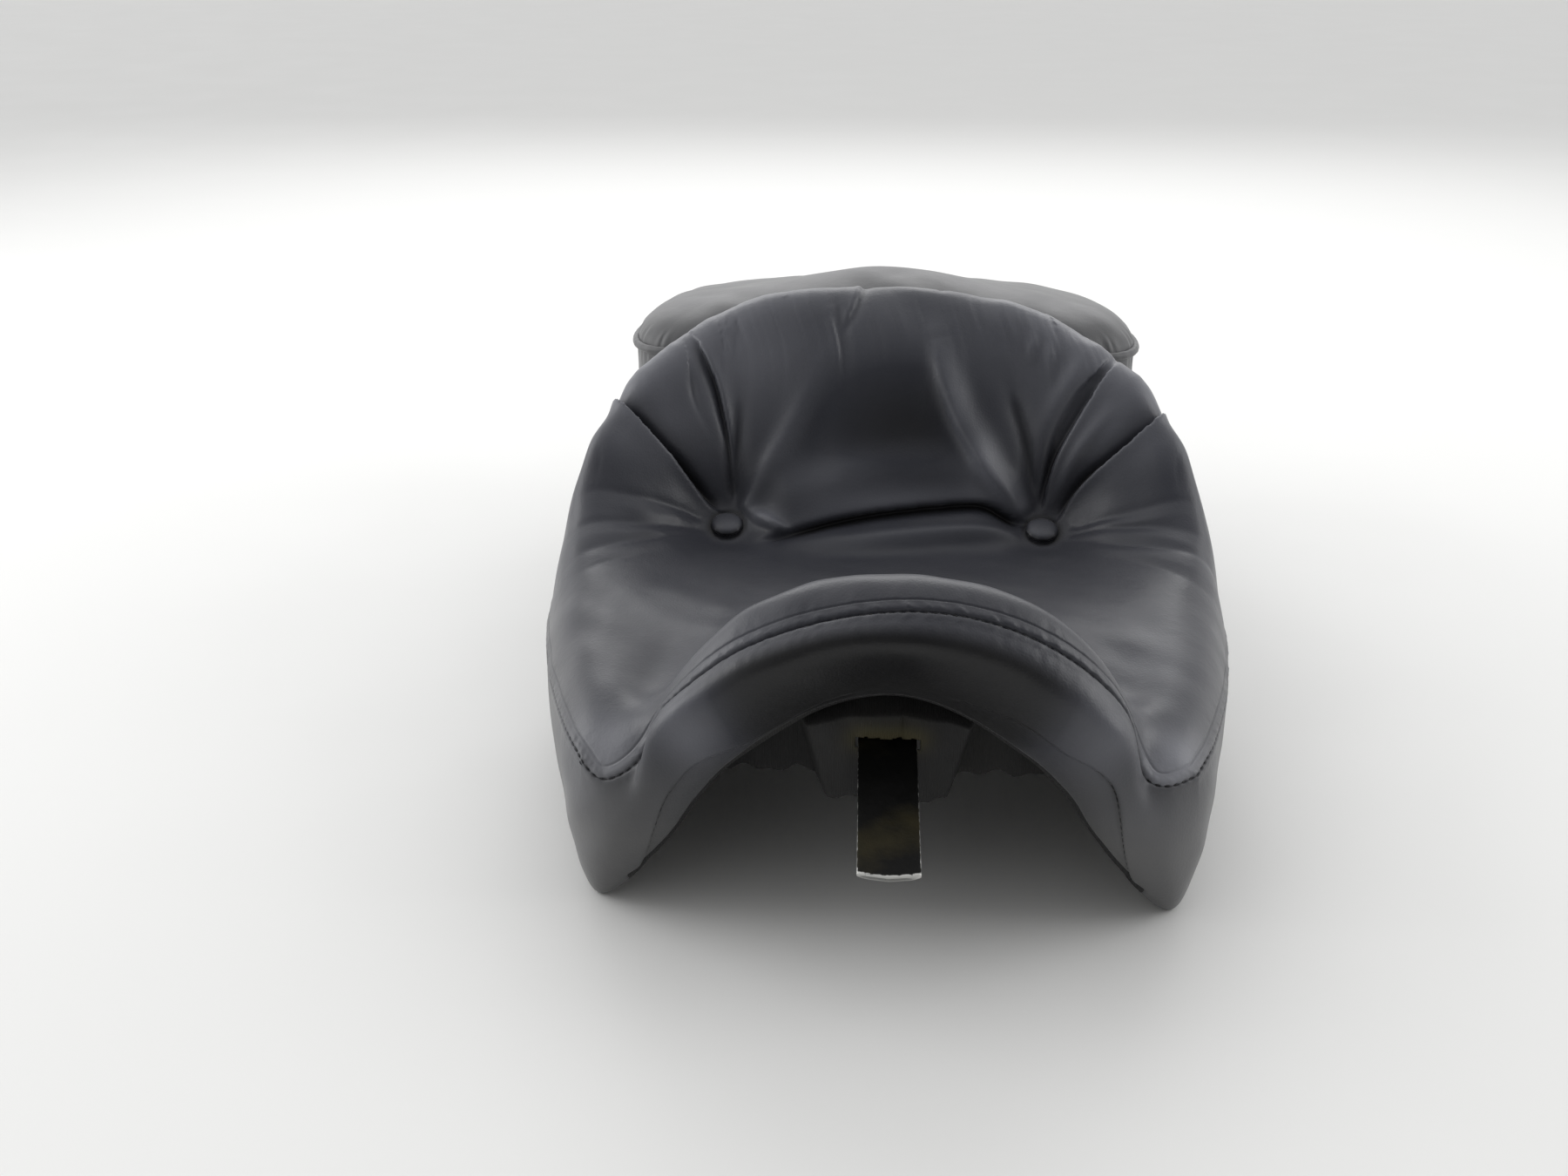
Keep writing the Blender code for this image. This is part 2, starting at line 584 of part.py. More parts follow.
def trimmed(values, low=0.0, high=0.0):
    """The values with their ends drawn in by a seam's width."""
    drawn = np.array(values, float)
    drawn[0] += low
    drawn[-1] -= high
    return drawn


front_columns = trimmed(TOP_ACROSS, TRIM, TRIM)
side_columns = trimmed(LAST_FRONT + TOP_BACK, TRIM)
face_rows = trimmed(SKIRT_DOWN[:LINING_ROW + 1], TRIM, TRIM)
lining_rows = trimmed(SKIRT_DOWN[LINING_ROW:], 2 * TRIM)
side_rows = trimmed(SKIRT_DOWN, TRIM)
rider_top_cover = sheet("rider_top_cover", top_panel(front_columns, trimmed(TOP_BACK, TRIM)), VINYL)
sheet("nose_cover", skirt(front_columns, face_rows), VINYL, flip=True)
sheet("nose_lining", skirt(front_columns, lining_rows), LINING, flip=True)
sheet("right_side_cover", skirt(side_columns, side_rows), VINYL, flip=True)
sheet("left_side_cover", skirt(-side_columns[::-1], side_rows), VINYL, flip=True)

# Pillion foam, top cover, side band and the welt between them
DOME_RINGS = np.array([0, 0.25, 0.5, 0.7, 0.85, 0.94, 1.0])
BAND_ROWS = np.array([0, 0.7, 1.4, 2, 2.5, 3, 4.0])
WELT_REACH = 0.976
BAND_ON_FOAM = 4
pillion_sheets = [(pillion_top(DOME_RINGS), True), (pillion_band(BAND_ROWS[:BAND_ON_FOAM]), True)]
pillion_foam = foam_block("pillion_foam", pillion_sheets)
cut(pillion_foam, foam_room)
sheet("pillion_top_cover", pillion_top(np.append(DOME_RINGS[:-1], WELT_REACH)), VINYL, flip=True)
sheet("pillion_band_cover", pillion_band(trimmed(BAND_ROWS, 2 * TRIM)), VINYL, flip=True)


def welt_tube():
    """The corded welt, a closed ring just proud of the seam."""
    ring = pillion_ring(PILLION_WELT)[:-1]
    curve = bpy.data.curves.new("pillion_welt", "CURVE")
    curve.dimensions = "3D"
    curve.bevel_depth = WELT_RADIUS * METRE
    curve.bevel_resolution = 1
    line = curve.splines.new("POLY")
    line.points.add(len(ring) - 1)
    outward = ring[:, :2] - np.array(PILLION_CENTRE)
    outward /= np.linalg.norm(outward, axis=1, keepdims=True)
    ring[:, :2] += outward * WELT_PROUD
    for point, place in zip(line.points, metres(ring)):
        point.co = (*place, 1)
    line.use_cyclic_u = True
    return add("pillion_welt", curve, VINYL)


welt_tube()

# Tufting: covered buttons, the twine that draws them down and the toggles that hold it under the pan
BUTTON_RADIUS = BUTTON_DIAMETER / 2
BUTTON_BACK = 2.0
BUTTON_PROFILE = [(0, 6.2), (4, 5.9), (7.2, 5.0), (9.5, 3.4), (10.8, 1.6), (BUTTON_RADIUS, 0.2),
                  (10.4, -1.2), (8, -BUTTON_BACK), (0, -BUTTON_BACK)]
BUTTON_SEAT = 3.8
TWINE_RADIUS = 1.4
BORE_RADIUS = 2.4
TOGGLE_RADIUS = 2.5
TOGGLE_LENGTH = 20.0
TOGGLE_CLEAR = 2.2
BORE_PAST = 8.0


def rod_profile(radius, length):
    """The profile of a plain round rod, centred on its own middle."""
    return [(0, length / 2), (radius, length / 2), (radius, -length / 2), (0, -length / 2)]


def depth_to_underside(base):
    """How far down the tuft's axis the pan's underside lies."""
    depths = np.arange(10, 80, 0.25)
    places = base - depths[:, None] * TUFT_AXIS
    undersides = np.array([pan_height(x, y) - PAN_THICKNESS for x, y, z in places])
    return depths[np.argmax(places[:, 2] < undersides)]


bores = []
for side, centre in zip(("left", "right"), TUFT_CENTRES):
    base = centre - TUFT_AXIS * TUFT_DEPTH
    button = base + TUFT_AXIS * BUTTON_SEAT
    turned(side + "_button", BUTTON_PROFILE, VINYL, button, TUFT_AXIS)
    under = depth_to_underside(base)
    toggle = base - TUFT_AXIS * (under + TOGGLE_RADIUS + TOGGLE_CLEAR)
    bores.append((base + TUFT_AXIS * BORE_PAST, base - TUFT_AXIS * (under + BORE_PAST)))
    twine_top = button - TUFT_AXIS * (BUTTON_BACK + TOUCH_GAP)
    twine_foot = toggle + TUFT_AXIS * (TOGGLE_RADIUS + TOUCH_GAP)
    twine = rod_profile(TWINE_RADIUS, np.linalg.norm(twine_top - twine_foot))
    turned(side + "_button_twine", twine, TWINE, (twine_top + twine_foot) / 2, TUFT_AXIS, steps=10)
    bar = rod_profile(TOGGLE_RADIUS, TOGGLE_LENGTH)
    turned(side + "_button_toggle", bar, ZINC, toggle, (1, 0, 0), steps=12)
twine_bores = rods("twine_bores", bores, BORE_RADIUS)
for piece in (rider_top_cover, rider_foam, base_pan):
    cut(piece, twine_bores)

# Front tongue, riveted up under the boss, with rivets filed flush so that its underside lies flat
RIVET_RADIUS = 2.9
RIVET_SHANK = 2.6
RIVET_TOP = 9.0
RIVET_FOOT = 0.5
RIVET_PROFILE = [(0, RIVET_TOP), (RIVET_SHANK, RIVET_TOP), (RIVET_SHANK, RIVET_FOOT), (0, RIVET_FOOT)]
RIVET_ROOM = 12.0
TONGUE_BEHIND = 24.0
TONGUE_BOW = 3.0
tip = -(TONGUE_LENGTH - TONGUE_BEHIND)
half = TONGUE_WIDTH / 2
end_arc = [(half * share, tip - TONGUE_BOW * (1 - share ** 2)) for share in np.linspace(-1, 1, 9)]
tongue_outline = end_arc + [(half, TONGUE_BEHIND), (-half, TONGUE_BEHIND)]
tongue_holes = [(0, 17, RIVET_RADIUS), (0, 4, RIVET_RADIUS)]
plate("front_tongue", tongue_outline, tongue_holes, TONGUE_THICKNESS, PAINTED_STEEL, TONGUE_ROOT,
      TONGUE_SLOPE)
rivet_bores = []
for number, (x, y, radius) in enumerate(tongue_holes, 1):
    seat = TONGUE_ROOT + SLOPE_LINE * y - TONGUE_FACE
    turned("tongue_rivet_%d" % number, RIVET_PROFILE, ZINC, seat, SLOPE_UP, steps=14)
    rivet_bores.append((seat, seat + SLOPE_UP * RIVET_ROOM))

# Tail tab, riveted up under the tail of the pan
TAB_BEHIND = 32.0
TAB_SCREW_RADIUS = 4.2
half = TAB_WIDTH / 2
screw_place = TAB_LENGTH - half - TAB_BEHIND
round_end = [(half * np.cos(t), screw_place + half * np.sin(t)) for t in np.linspace(0, pi, 13)]
tab_outline = round_end + [(-half, -TAB_BEHIND), (half, -TAB_BEHIND)]
tab_holes = [(-9, -20, RIVET_RADIUS), (9, -20, RIVET_RADIUS), (0, screw_place, TAB_SCREW_RADIUS)]
plate("tail_tab", tab_outline, tab_holes, TAB_THICKNESS, ZINC, TAB_PLACE, TAB_SLOPE)
for name, (x, y, radius) in zip(("left", "right"), tab_holes):
    seat = TAB_PLACE + [x, 0, 0] + TAB_LINE * y - TAB_FACE
    turned(name + "_tail_rivet", RIVET_PROFILE, ZINC, seat, TAB_UP, steps=14)
    rivet_bores.append((seat, seat + TAB_UP * RIVET_ROOM))
cut(base_pan, rods("rivet_bores", rivet_bores, RIVET_RADIUS))

# Rubber bumpers under the pan, where the seat lies on the frame rails and the fender
BUMPER_PROFILE = [(0, 0), (11, 0), (11, -6), (9.5, -8), (0, -8)]
for (x, y), part in zip(BUMPERS, ("front", "middle", "rear")):
    for side, name in ((-1, "left"), (1, "right")):
        down = pan_down(side * x, y)
        seat = np.array([side * x, y, pan_height(side * x, y)]) + down * (PAN_THICKNESS + 3 * TOUCH_GAP)
        turned("%s_%s_bumper" % (name, part), BUMPER_PROFILE, RUBBER, seat, -down, steps=16)

# Staples that hold the turned-under hem
STAPLE_NEAR = np.array([-0.1, 0, 0.1])
for number, column in enumerate(STAPLE_COLUMNS, 1):
    for side, name in ((-1, "left"), (1, "right")):
        near = skirt(column + STAPLE_NEAR, STAPLE_ROW + STAPLE_NEAR)
        along = near[1, 2] - near[1, 0]
        along /= np.linalg.norm(along)
        out = np.cross(near[2, 1] - near[0, 1], along)
        out *= -np.sign(out[2]) / np.linalg.norm(out)
        frame = Matrix(np.stack([along, np.cross(out, along), out], 1).tolist())
        bm = bmesh.new()
        bmesh.ops.create_cube(bm, size=1, matrix=Matrix.Diagonal((*[size * METRE for size in STAPLE], 1)))
        staple = add("%s_staple_%d" % (name, number), to_mesh(bm, "staple"), ZINC)
        staple.location = metres((near[1, 1] + out * (STAPLE[2] / 2 + TOUCH_GAP)) * [side, 1, 1])
        turn = frame.to_euler()
        staple.rotation_euler = (turn.x, turn.y * side, turn.z * side)
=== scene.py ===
import bpy
import numpy as np
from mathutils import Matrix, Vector


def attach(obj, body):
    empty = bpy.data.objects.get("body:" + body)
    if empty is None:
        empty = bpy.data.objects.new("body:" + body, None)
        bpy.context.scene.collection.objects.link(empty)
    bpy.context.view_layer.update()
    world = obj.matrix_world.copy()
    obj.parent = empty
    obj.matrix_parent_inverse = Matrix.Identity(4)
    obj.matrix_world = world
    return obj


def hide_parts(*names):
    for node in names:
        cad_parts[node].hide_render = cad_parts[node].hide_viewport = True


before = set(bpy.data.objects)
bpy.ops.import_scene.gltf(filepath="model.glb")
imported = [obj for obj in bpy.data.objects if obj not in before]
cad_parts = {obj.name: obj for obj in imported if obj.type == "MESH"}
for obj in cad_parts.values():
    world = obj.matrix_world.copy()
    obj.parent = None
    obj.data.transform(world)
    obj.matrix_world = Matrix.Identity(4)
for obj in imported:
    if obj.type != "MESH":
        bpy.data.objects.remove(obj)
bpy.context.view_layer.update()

# Base pan: the arched moulding that carries the whole seat, black plastic about 3 mm thick.
# It is one shell with two stiffening ribs, and its front and tail have bosses for the hold-downs.
GROUND = np.array([0.0, 322.85, -2.0])
PAN_STATIONS = np.array([
    (44, 150, 12, 124, 1.6), (84, 161, 12, 104, 2.2), (130, 176, 12, 84, 3.0), (190, 190, 12, 74, 3.8),
    (250, 194, 12, 74, 4.2), (310, 184, 12, 84, 4.2), (360, 172, 12, 100, 4.0), (400, 164, 12, 112, 4.0),
    (424, 160, 24, 118, 4.0), (452, 160, 108, 124, 4.0), (520, 166, 110, 126, 4.0),
    (600, 158, 101, 117, 4.0), (650, 130, 95, 107, 3.4), (670, 92, 93, 103, 3.0)])
PAN_THICKNESS = 3.0
RIB_ASIDE = 48.0
RIB_ENDS = (110, 400)
RIB_DEPTH = 10.5
TONGUE_ROOT = np.array([0.0, 48.0, 98.0])
TONGUE_SLOPE = np.radians(10.5)
TAB_PLACE = np.array([0.0, 676.0, 80.0])
TAB_SLOPE = np.radians(-20.0)
# Half widths at roof and foot, front and back, roof level; then the strap's place, slope and gap
BOSSES = {"tongue_boss": (40.0, 25.0, (45.0, 71.0), 131.0, TONGUE_ROOT, TONGUE_SLOPE, 1.9),
          "tail_boss": (21.0, 20.0, (636.0, 664.0), 104.0, TAB_PLACE, TAB_SLOPE, 1.7)}


def in_frame(points):
    """Seat millimetres (x across, y back from the nose, z up) to the shared frame in metres."""
    return (np.asarray(points, float) - GROUND) * 0.001


def cubic(at, count):
    """The first of the four control points that reach each place, and their cubic B-spline weights."""
    first = np.clip(np.floor(at).astype(int), 0, count - 2)
    t = at - first
    weights = [(1 - t) ** 3, 3 * t ** 3 - 6 * t ** 2 + 4, -3 * t ** 3 + 3 * t ** 2 + 3 * t + 1, t ** 3]
    return first, [weight / 6 for weight in weights]


def lengthened(net):
    """A control net with a row more at each end, twice the end row less its neighbour, to meet the ends."""
    net = np.asarray(net, float)
    return np.concatenate([2 * net[:1] - net[1:2], net, 2 * net[-1:] - net[-2:-1]])


def spline(net, at):
    """A smooth row through control values: at each place the sum of four neighbours times their weights."""
    at = np.asarray(at, float)
    first, weights = cubic(at, len(net))
    long = lengthened(net)
    shape = at.shape + (1,) * (long.ndim - 1)
    return sum(weight.reshape(shape) * long[first + k] for k, weight in enumerate(weights))


def surface(net, along, across):
    """A smooth surface over a control net: sixteen neighbours times the weights of both directions."""
    long = lengthened(lengthened(net).swapaxes(0, 1)).swapaxes(0, 1)
    row, down = cubic(np.asarray(along, float), net.shape[0])
    column, over = cubic(np.asarray(across, float), net.shape[1])
    return sum((a * b)[..., None] * long[row + i, column + j]
               for i, a in enumerate(down) for j, b in enumerate(over))


def quads(rows, columns, around=False, flip=False):
    """Faces of a grid of points taken row by row; around joins the last column to the first."""
    down = np.arange(rows - 1)[:, None] * columns
    here = np.arange(columns if around else columns - 1)
    there = (here + 1) % columns
    faces = np.stack([down + here, down + there, down + there + columns, down + here + columns], -1)
    return faces[..., ::-1] if flip else faces


def grid_faces(points, around=False, flip=False):
    """The faces of a grid of points as a plain list."""
    return quads(*points.shape[:2], around, flip).reshape(-1, 4).tolist()


def add_piece(name, points, faces, finish, slot, sharp=None):
    """A smooth-shaded piece from points in seat millimetres, riding on the seat's one body."""
    mesh = bpy.data.meshes.new(name)
    mesh.from_pydata(in_frame(points).reshape(-1, 3).tolist(), [], faces)
    mesh.update()
    mesh.shade_smooth()
    if sharp is not None:
        mesh.set_sharp_from_angle(angle=np.radians(sharp))
    mesh.materials.append(finish)
    made = bpy.data.objects.new(name, mesh)
    bpy.context.scene.collection.objects.link(made)
    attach(made, "root")
    return made


def thicken(piece, name, thickness):
    """Gives a sheet its thickness in millimetres, laid on its inner side."""
    wall = piece.modifiers.new(name, "SOLIDIFY")
    wall.thickness = thickness * 0.001
    wall.offset = -1


def new_finish(name, colour, roughness, metallic=0.0):
    """A finish whose constants are set on the shader's own sockets."""
    made = bpy.data.materials.new(name)
    made.use_nodes = True
    shader = made.node_tree.nodes["Principled BSDF"]
    shader.inputs["Base Color"].default_value = (*colour, 1)
    shader.inputs["Roughness"].default_value = roughness
    shader.inputs["Metallic"].default_value = metallic
    return made


def shader_input(finish, socket, value):
    """Feeds a node's output to one socket of the finish's shader."""
    finish.node_tree.links.new(value, finish.node_tree.nodes["Principled BSDF"].inputs[socket])


def spread_over(owner, value, first, last, low=0.0, high=1.0, ease="LINEAR"):
    """A value mapped so that first gives low and last gives high, held at both ends."""
    spread = owner.node_tree.nodes.new("ShaderNodeMapRange")
    spread.interpolation_type = ease
    for socket, number in zip(("From Min", "From Max", "To Min", "To Max"), (first, last, low, high)):
        spread.inputs[socket].default_value = number
    owner.node_tree.links.new(value, spread.inputs["Value"])
    return spread.outputs["Result"]


def mottle(finish, cells, low, high, detail=3.0, stretch=(1, 1, 1)):
    """A soft random pattern on the piece's own coordinates, in cells a metre, spread from low to high."""
    nodes, links = finish.node_tree.nodes, finish.node_tree.links
    place = nodes.new("ShaderNodeTexCoord")
    scaled = nodes.new("ShaderNodeMapping")
    scaled.inputs["Scale"].default_value = stretch
    cloud = nodes.new("ShaderNodeTexNoise")
    cloud.inputs["Scale"].default_value = cells
    cloud.inputs["Detail"].default_value = detail
    links.new(place.outputs["Object"], scaled.inputs["Vector"])
    links.new(scaled.outputs["Vector"], cloud.inputs["Vector"])
    return spread_over(finish, cloud.outputs["Fac"], 0.3, 0.7, low, high)


def tinted(finish, share, first, second):
    """A colour between two others by a share; each is a plain colour or a node's output."""
    mix = finish.node_tree.nodes.new("ShaderNodeMix")
    mix.data_type = "RGBA"
    finish.node_tree.links.new(share, mix.inputs["Factor"])
    for socket, colour in ((mix.inputs[6], first), (mix.inputs[7], second)):
        if isinstance(colour, tuple):
            socket.default_value = (*colour, 1)
        else:
            finish.node_tree.links.new(colour, socket)
    return mix.outputs[2]


def relief(finish, height, depth, under=None):
    """A bump of a real depth in metres from a pattern, laid over another bump if there is one."""
    bump = finish.node_tree.nodes.new("ShaderNodeBump")
    bump.inputs["Distance"].default_value = depth
    finish.node_tree.links.new(height, bump.inputs["Height"])
    if under is not None:
        finish.node_tree.links.new(under, bump.inputs["Normal"])
    return bump.outputs["Normal"]


def pan_section(back):
    """Half width, rim, crown and squareness of the pan at distances back from the nose."""
    fine = np.linspace(0, len(PAN_STATIONS) - 1, 400)
    at = np.interp(back, spline(PAN_STATIONS, fine)[:, 0], fine)
    return np.moveaxis(spline(PAN_STATIONS, at)[..., 1:], -1, 0)


def pan_height(x, back):
    """Height of the pan's upper face in plan: a superellipse arch from rim to crown."""
    width, rim, crown, square = pan_section(back)
    share = np.minimum(np.abs(x) / width, 1)
    return rim + (crown - rim) * (1 - share ** square) ** (1 / square)


def pan_arches(along, turn):
    """The pan's skin: superellipse arches x = w cos^(2/n), z = rim + rise sin^(2/n), along the seat."""
    back, width, rim, crown, square = np.moveaxis(spline(PAN_STATIONS, along), -1, 0)[:, :, None]
    cos, sin = np.cos(turn), np.sin(turn)
    x = -width * np.sign(cos) * np.abs(cos) ** (2 / square)
    z = rim + (crown - rim) * np.abs(sin) ** (2 / square)
    return np.stack([x, np.broadcast_to(back, x.shape), z], -1)


def rib_slab(side):
    """A stiffening rib: a thin upright section, round below, carried back under the pan's crown."""
    back = np.linspace(*RIB_ENDS, 60)
    from_end = np.minimum(back - (RIB_ENDS[0] - 6), RIB_ENDS[1] + 6 - back)
    depth = RIB_DEPTH * np.clip(from_end / 26, 0.1, 1) ** 0.5
    roof = pan_height(RIB_ASIDE, back) - PAN_THICKNESS / 2
    across = np.array([-1.4, -1.4, -1.3, -0.8, 0, 0.8, 1.3, 1.4, 1.4])
    down = np.array([0, 0.6, 0.85, 0.97, 1, 0.97, 0.85, 0.6, 0])
    x = np.broadcast_to(side * RIB_ASIDE + across, (len(back), len(across)))
    z = roof[:, None] - depth[:, None] * down
    return np.stack([x, np.broadcast_to(back[:, None], x.shape), z], -1)


def boss_block(top_half, foot_half, ends, roof, place, slope, gap):
    """A boss: rounded-oblong sections that narrow from the pan's skin to a flat foot over a sloped strap."""
    turn = np.linspace(0, 2 * np.pi, 64, endpoint=False)
    oblong_x = np.sign(np.cos(turn)) * np.abs(np.cos(turn)) ** 0.45
    oblong_y = np.sign(np.sin(turn)) * np.abs(np.sin(turn)) ** 0.45
    drop = np.array([0, 0.25, 0.5, 0.75, 0.92, 0.98, 1, 1, 1])
    draw = np.array([1, 1, 1, 1, 1, 0.97, 0.9, 0.5, 0.04])
    half = (top_half + (foot_half - top_half) * drop) * draw
    middle, reach = (ends[0] + ends[1]) / 2, (ends[1] - ends[0]) / 2
    x = half[:, None] * oblong_x
    y = middle + reach * draw[:, None] * oblong_y
    foot = place[2] + np.tan(slope) * (y - place[1]) + gap
    z = roof + (foot - roof) * drop[:, None]
    return np.stack([x, y, z], -1)


plastic = new_finish("pan_plastic", (0.022, 0.022, 0.023), 0.55)
dust = tinted(plastic, mottle(plastic, 9, 0, 1, 5), (0.018, 0.018, 0.019), (0.034, 0.033, 0.031))
shader_input(plastic, "Base Color", dust)
shader_input(plastic, "Roughness", mottle(plastic, 40, 0.45, 0.66))
shader_input(plastic, "Normal", relief(plastic, mottle(plastic, 700, 0, 1, 2), 0.0001))

PAN_TURN = np.concatenate([np.linspace(0, 0.5, 14)[:-1], np.linspace(0.5, np.pi - 0.5, 60)[:-1],
                           np.linspace(np.pi - 0.5, np.pi, 14)])
skin = pan_arches(np.linspace(0, len(PAN_STATIONS) - 1, 150), PAN_TURN)
pan = add_piece("pan_shell", skin, grid_faces(skin, flip=True), plastic, "pan", 50)
thicken(pan, "moulded_wall", PAN_THICKNESS)
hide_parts("base_pan")
for side, name in ((-1, "left_pan_rib"), (1, "right_pan_rib")):
    slab = rib_slab(side)
    rows, columns = slab.shape[:2]
    ends = [list(range(columns)), list(range(rows * columns - 1, (rows - 1) * columns - 1, -1))]
    add_piece(name, slab, grid_faces(slab, flip=True) + ends, plastic, "pan", 40)
for name, sizes in BOSSES.items():
    block = boss_block(*sizes)
    rows, columns = block.shape[:2]
    foot = list(range((rows - 1) * columns, rows * columns))
    add_piece(name, block, grid_faces(block, around=True, flip=True) + [foot], plastic, "pan", 45)

# Rubber bumpers: six soft pads pushed onto the underside of the pan, where it lies on the frame and fender.
# Each is turned from black rubber, with a rounded lower edge and a shallow dimple.
BUMPERS = {"front": (62, 130), "middle": (70, 300), "rear": (76, 520)}
BUMPER_PROFILE = np.array([(0.4, 0.1), (10.6, 0.1), (11, -0.5), (11.1, -3), (11, -5.4), (10.6, -6.7),
                           (9.9, -7.5), (9.2, -7.9), (8.2, -8), (4.4, -8), (3.8, -7.6), (3.2, -7.1),
                           (0.4, -7)])
BUMPER_LIFT = PAN_THICKNESS + 1.05


def turned(profile, place, axis, steps):
    """A round piece: a profile of radius and height carried round an axis at a place."""
    axis = axis / np.linalg.norm(axis)
    aside = np.cross(axis, (0, 1, 0) if abs(axis[1]) < 0.9 else (1, 0, 0))
    aside /= np.linalg.norm(aside)
    turn = np.linspace(0, 2 * np.pi, steps, endpoint=False)
    spoke = np.cos(turn)[:, None] * aside + np.sin(turn)[:, None] * np.cross(axis, aside)
    return place + profile[:, :1, None] * spoke + profile[:, 1:, None] * axis


def capped(shape, flip=False):
    """Faces of rings of points, with both end rings closed."""
    rows, columns = shape[:2]
    caps = [list(range(columns))[::-1], list(range((rows - 1) * columns, rows * columns))]
    if flip:
        caps = [cap[::-1] for cap in caps]
    return quads(rows, columns, around=True, flip=flip).reshape(-1, 4).tolist() + caps


rubber = new_finish("bumper_rubber", (0.025, 0.025, 0.025), 0.8)
bloom = tinted(rubber, mottle(rubber, 60, 0, 1), (0.02, 0.02, 0.02), (0.04, 0.038, 0.035))
shader_input(rubber, "Base Color", bloom)
shader_input(rubber, "Normal", relief(rubber, mottle(rubber, 1500, 0, 1, 2), 0.00008))
for part, (aside, back) in BUMPERS.items():
    for side, name in ((-1, "left"), (1, "right")):
        x = side * aside
        slope_x = (pan_height(x + 2.0, back) - pan_height(x - 2.0, back)) / 4
        slope_y = (pan_height(x, back + 2.0) - pan_height(x, back - 2.0)) / 4
        up = np.array([-slope_x, -slope_y, 1.0])
        up /= np.linalg.norm(up)
        pad = turned(BUMPER_PROFILE, np.array([x, back, pan_height(x, back)]) - up * BUMPER_LIFT, up, 40)
        made = add_piece("%s_%s_rubber_pad" % (name, part), pad, capped(pad.shape, flip=True), rubber,
                         "bumper_rubber", 50)
        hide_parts("%s_%s_bumper" % (name, part))

# Front tongue: a flat steel strap, painted black, that slides into a slot on the frame.
# Its rounded end and edges are worn to bright metal, and it is riveted up under the pan's boss.
TONGUE_HALF = 15.5
TONGUE_ENDS = (-115.0, 24.0)
TONGUE_BOW = 3.0
TONGUE_THICKNESS = 3.0
WORN_EDGE = 0.9


def strap(half, ends, bow, thickness, place, slope):
    """A flat strap: a round-edged oblong section carried from its bowed tip to its root along a slope."""
    turn = np.linspace(0, 2 * np.pi, 72, endpoint=False)
    cos, sin = np.cos(turn), np.sin(turn)
    x = np.clip(np.sign(cos) * np.abs(cos) ** 0.16, -1, 1) * half
    z = np.sign(sin) * np.abs(sin) ** 0.5 * thickness / 2
    tip = ends[0] + np.array([0, 0.15, 0.5, 1.0, 2.0])
    back = np.concatenate([tip, np.linspace(ends[0] + 4, ends[1], 70)])
    squeeze = np.ones(len(back))
    squeeze[:3] = (0.55, 0.8, 0.95)
    tipped = np.exp(-((back - ends[0]) / 26.0) ** 2)
    y = back[:, None] - bow * tipped[:, None] * (1 - (x / half) ** 2)
    z = squeeze[:, None] * z
    x = np.broadcast_to(x, y.shape)
    c, s = np.cos(slope), np.sin(slope)
    return place + np.stack([x, y * c - z * s, y * s + z * c], -1), back, x


def marked(finish, name):
    """A finish's reading of the value that a piece's points carry under a name."""
    reading = finish.node_tree.nodes.new("ShaderNodeAttribute")
    reading.attribute_name = name
    return reading.outputs["Fac"]


def mark(piece, name, values):
    """Writes one value on each point of a piece, for its finish to read."""
    field = piece.data.attributes.new(name, "FLOAT", "POINT")
    field.data.foreach_set("value", np.ravel(values).astype(np.float32))


def worked_out(owner, operation, first, second):
    """The sum, product or larger one of two nodes' outputs."""
    result = owner.node_tree.nodes.new("ShaderNodeMath")
    result.operation = operation
    owner.node_tree.links.new(first, result.inputs[0])
    owner.node_tree.links.new(second, result.inputs[1])
    return result.outputs["Value"]


painted = new_finish("worn_black_paint", (0.02, 0.02, 0.019), 0.42)
chipped = worked_out(painted, "MULTIPLY", marked(painted, "spot_field"), mottle(painted, 420, 0.55, 1.5, 4))
bare = spread_over(painted, chipped, 0.35, 0.6)
grime = tinted(painted, mottle(painted, 26, -1.1, 1, 5), (0.004, 0.004, 0.0038), (0.026, 0.022, 0.01))
shader_input(painted, "Base Color", tinted(painted, bare, grime, (0.62, 0.62, 0.6)))
shader_input(painted, "Metallic", bare)
painted.node_tree.nodes["Principled BSDF"].inputs["Specular IOR Level"].default_value = 0.2
shader_input(painted, "Roughness", mottle(painted, 130, 0.5, 0.68))
shader_input(painted, "Normal", relief(painted, mottle(painted, 300, 0, 1, 5), 0.00015))
tongue_points, tongue_back, tongue_x = strap(TONGUE_HALF, TONGUE_ENDS, TONGUE_BOW, TONGUE_THICKNESS,
                                             TONGUE_ROOT, TONGUE_SLOPE)
tongue = add_piece("steel_tongue", tongue_points, capped(tongue_points.shape), painted, "painted_steel", 60)
from_tip = (tongue_back - TONGUE_ENDS[0])[:, None]
into_edge = np.abs(tongue_x) - (TONGUE_HALF - WORN_EDGE)
side_wear = np.clip(into_edge / WORN_EDGE, 0, 1) * (0.3 + 0.4 * np.exp(-from_tip / 50))
tip_wear = np.exp(-(from_tip / 1.6) ** 2)
mark(tongue, "spot_field", np.maximum(side_wear, tip_wear))
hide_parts("front_tongue")

# Tail tab and rivets: a zinc-plated steel tab that a screw holds to the fender, and flush steel rivets.
# The plate keeps a dull spangled grey, and the rivets that go through it are filed flat.
ZINC_NODES = ("tail_tab", "left_tail_rivet", "right_tail_rivet", "tongue_rivet_1", "tongue_rivet_2",
              "left_button_toggle", "right_button_toggle")


def refinish(names, finish):
    """Gives a finish to nodes that show just as they were loaded."""
    for name in names:
        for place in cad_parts[name].material_slots:
            place.material = finish


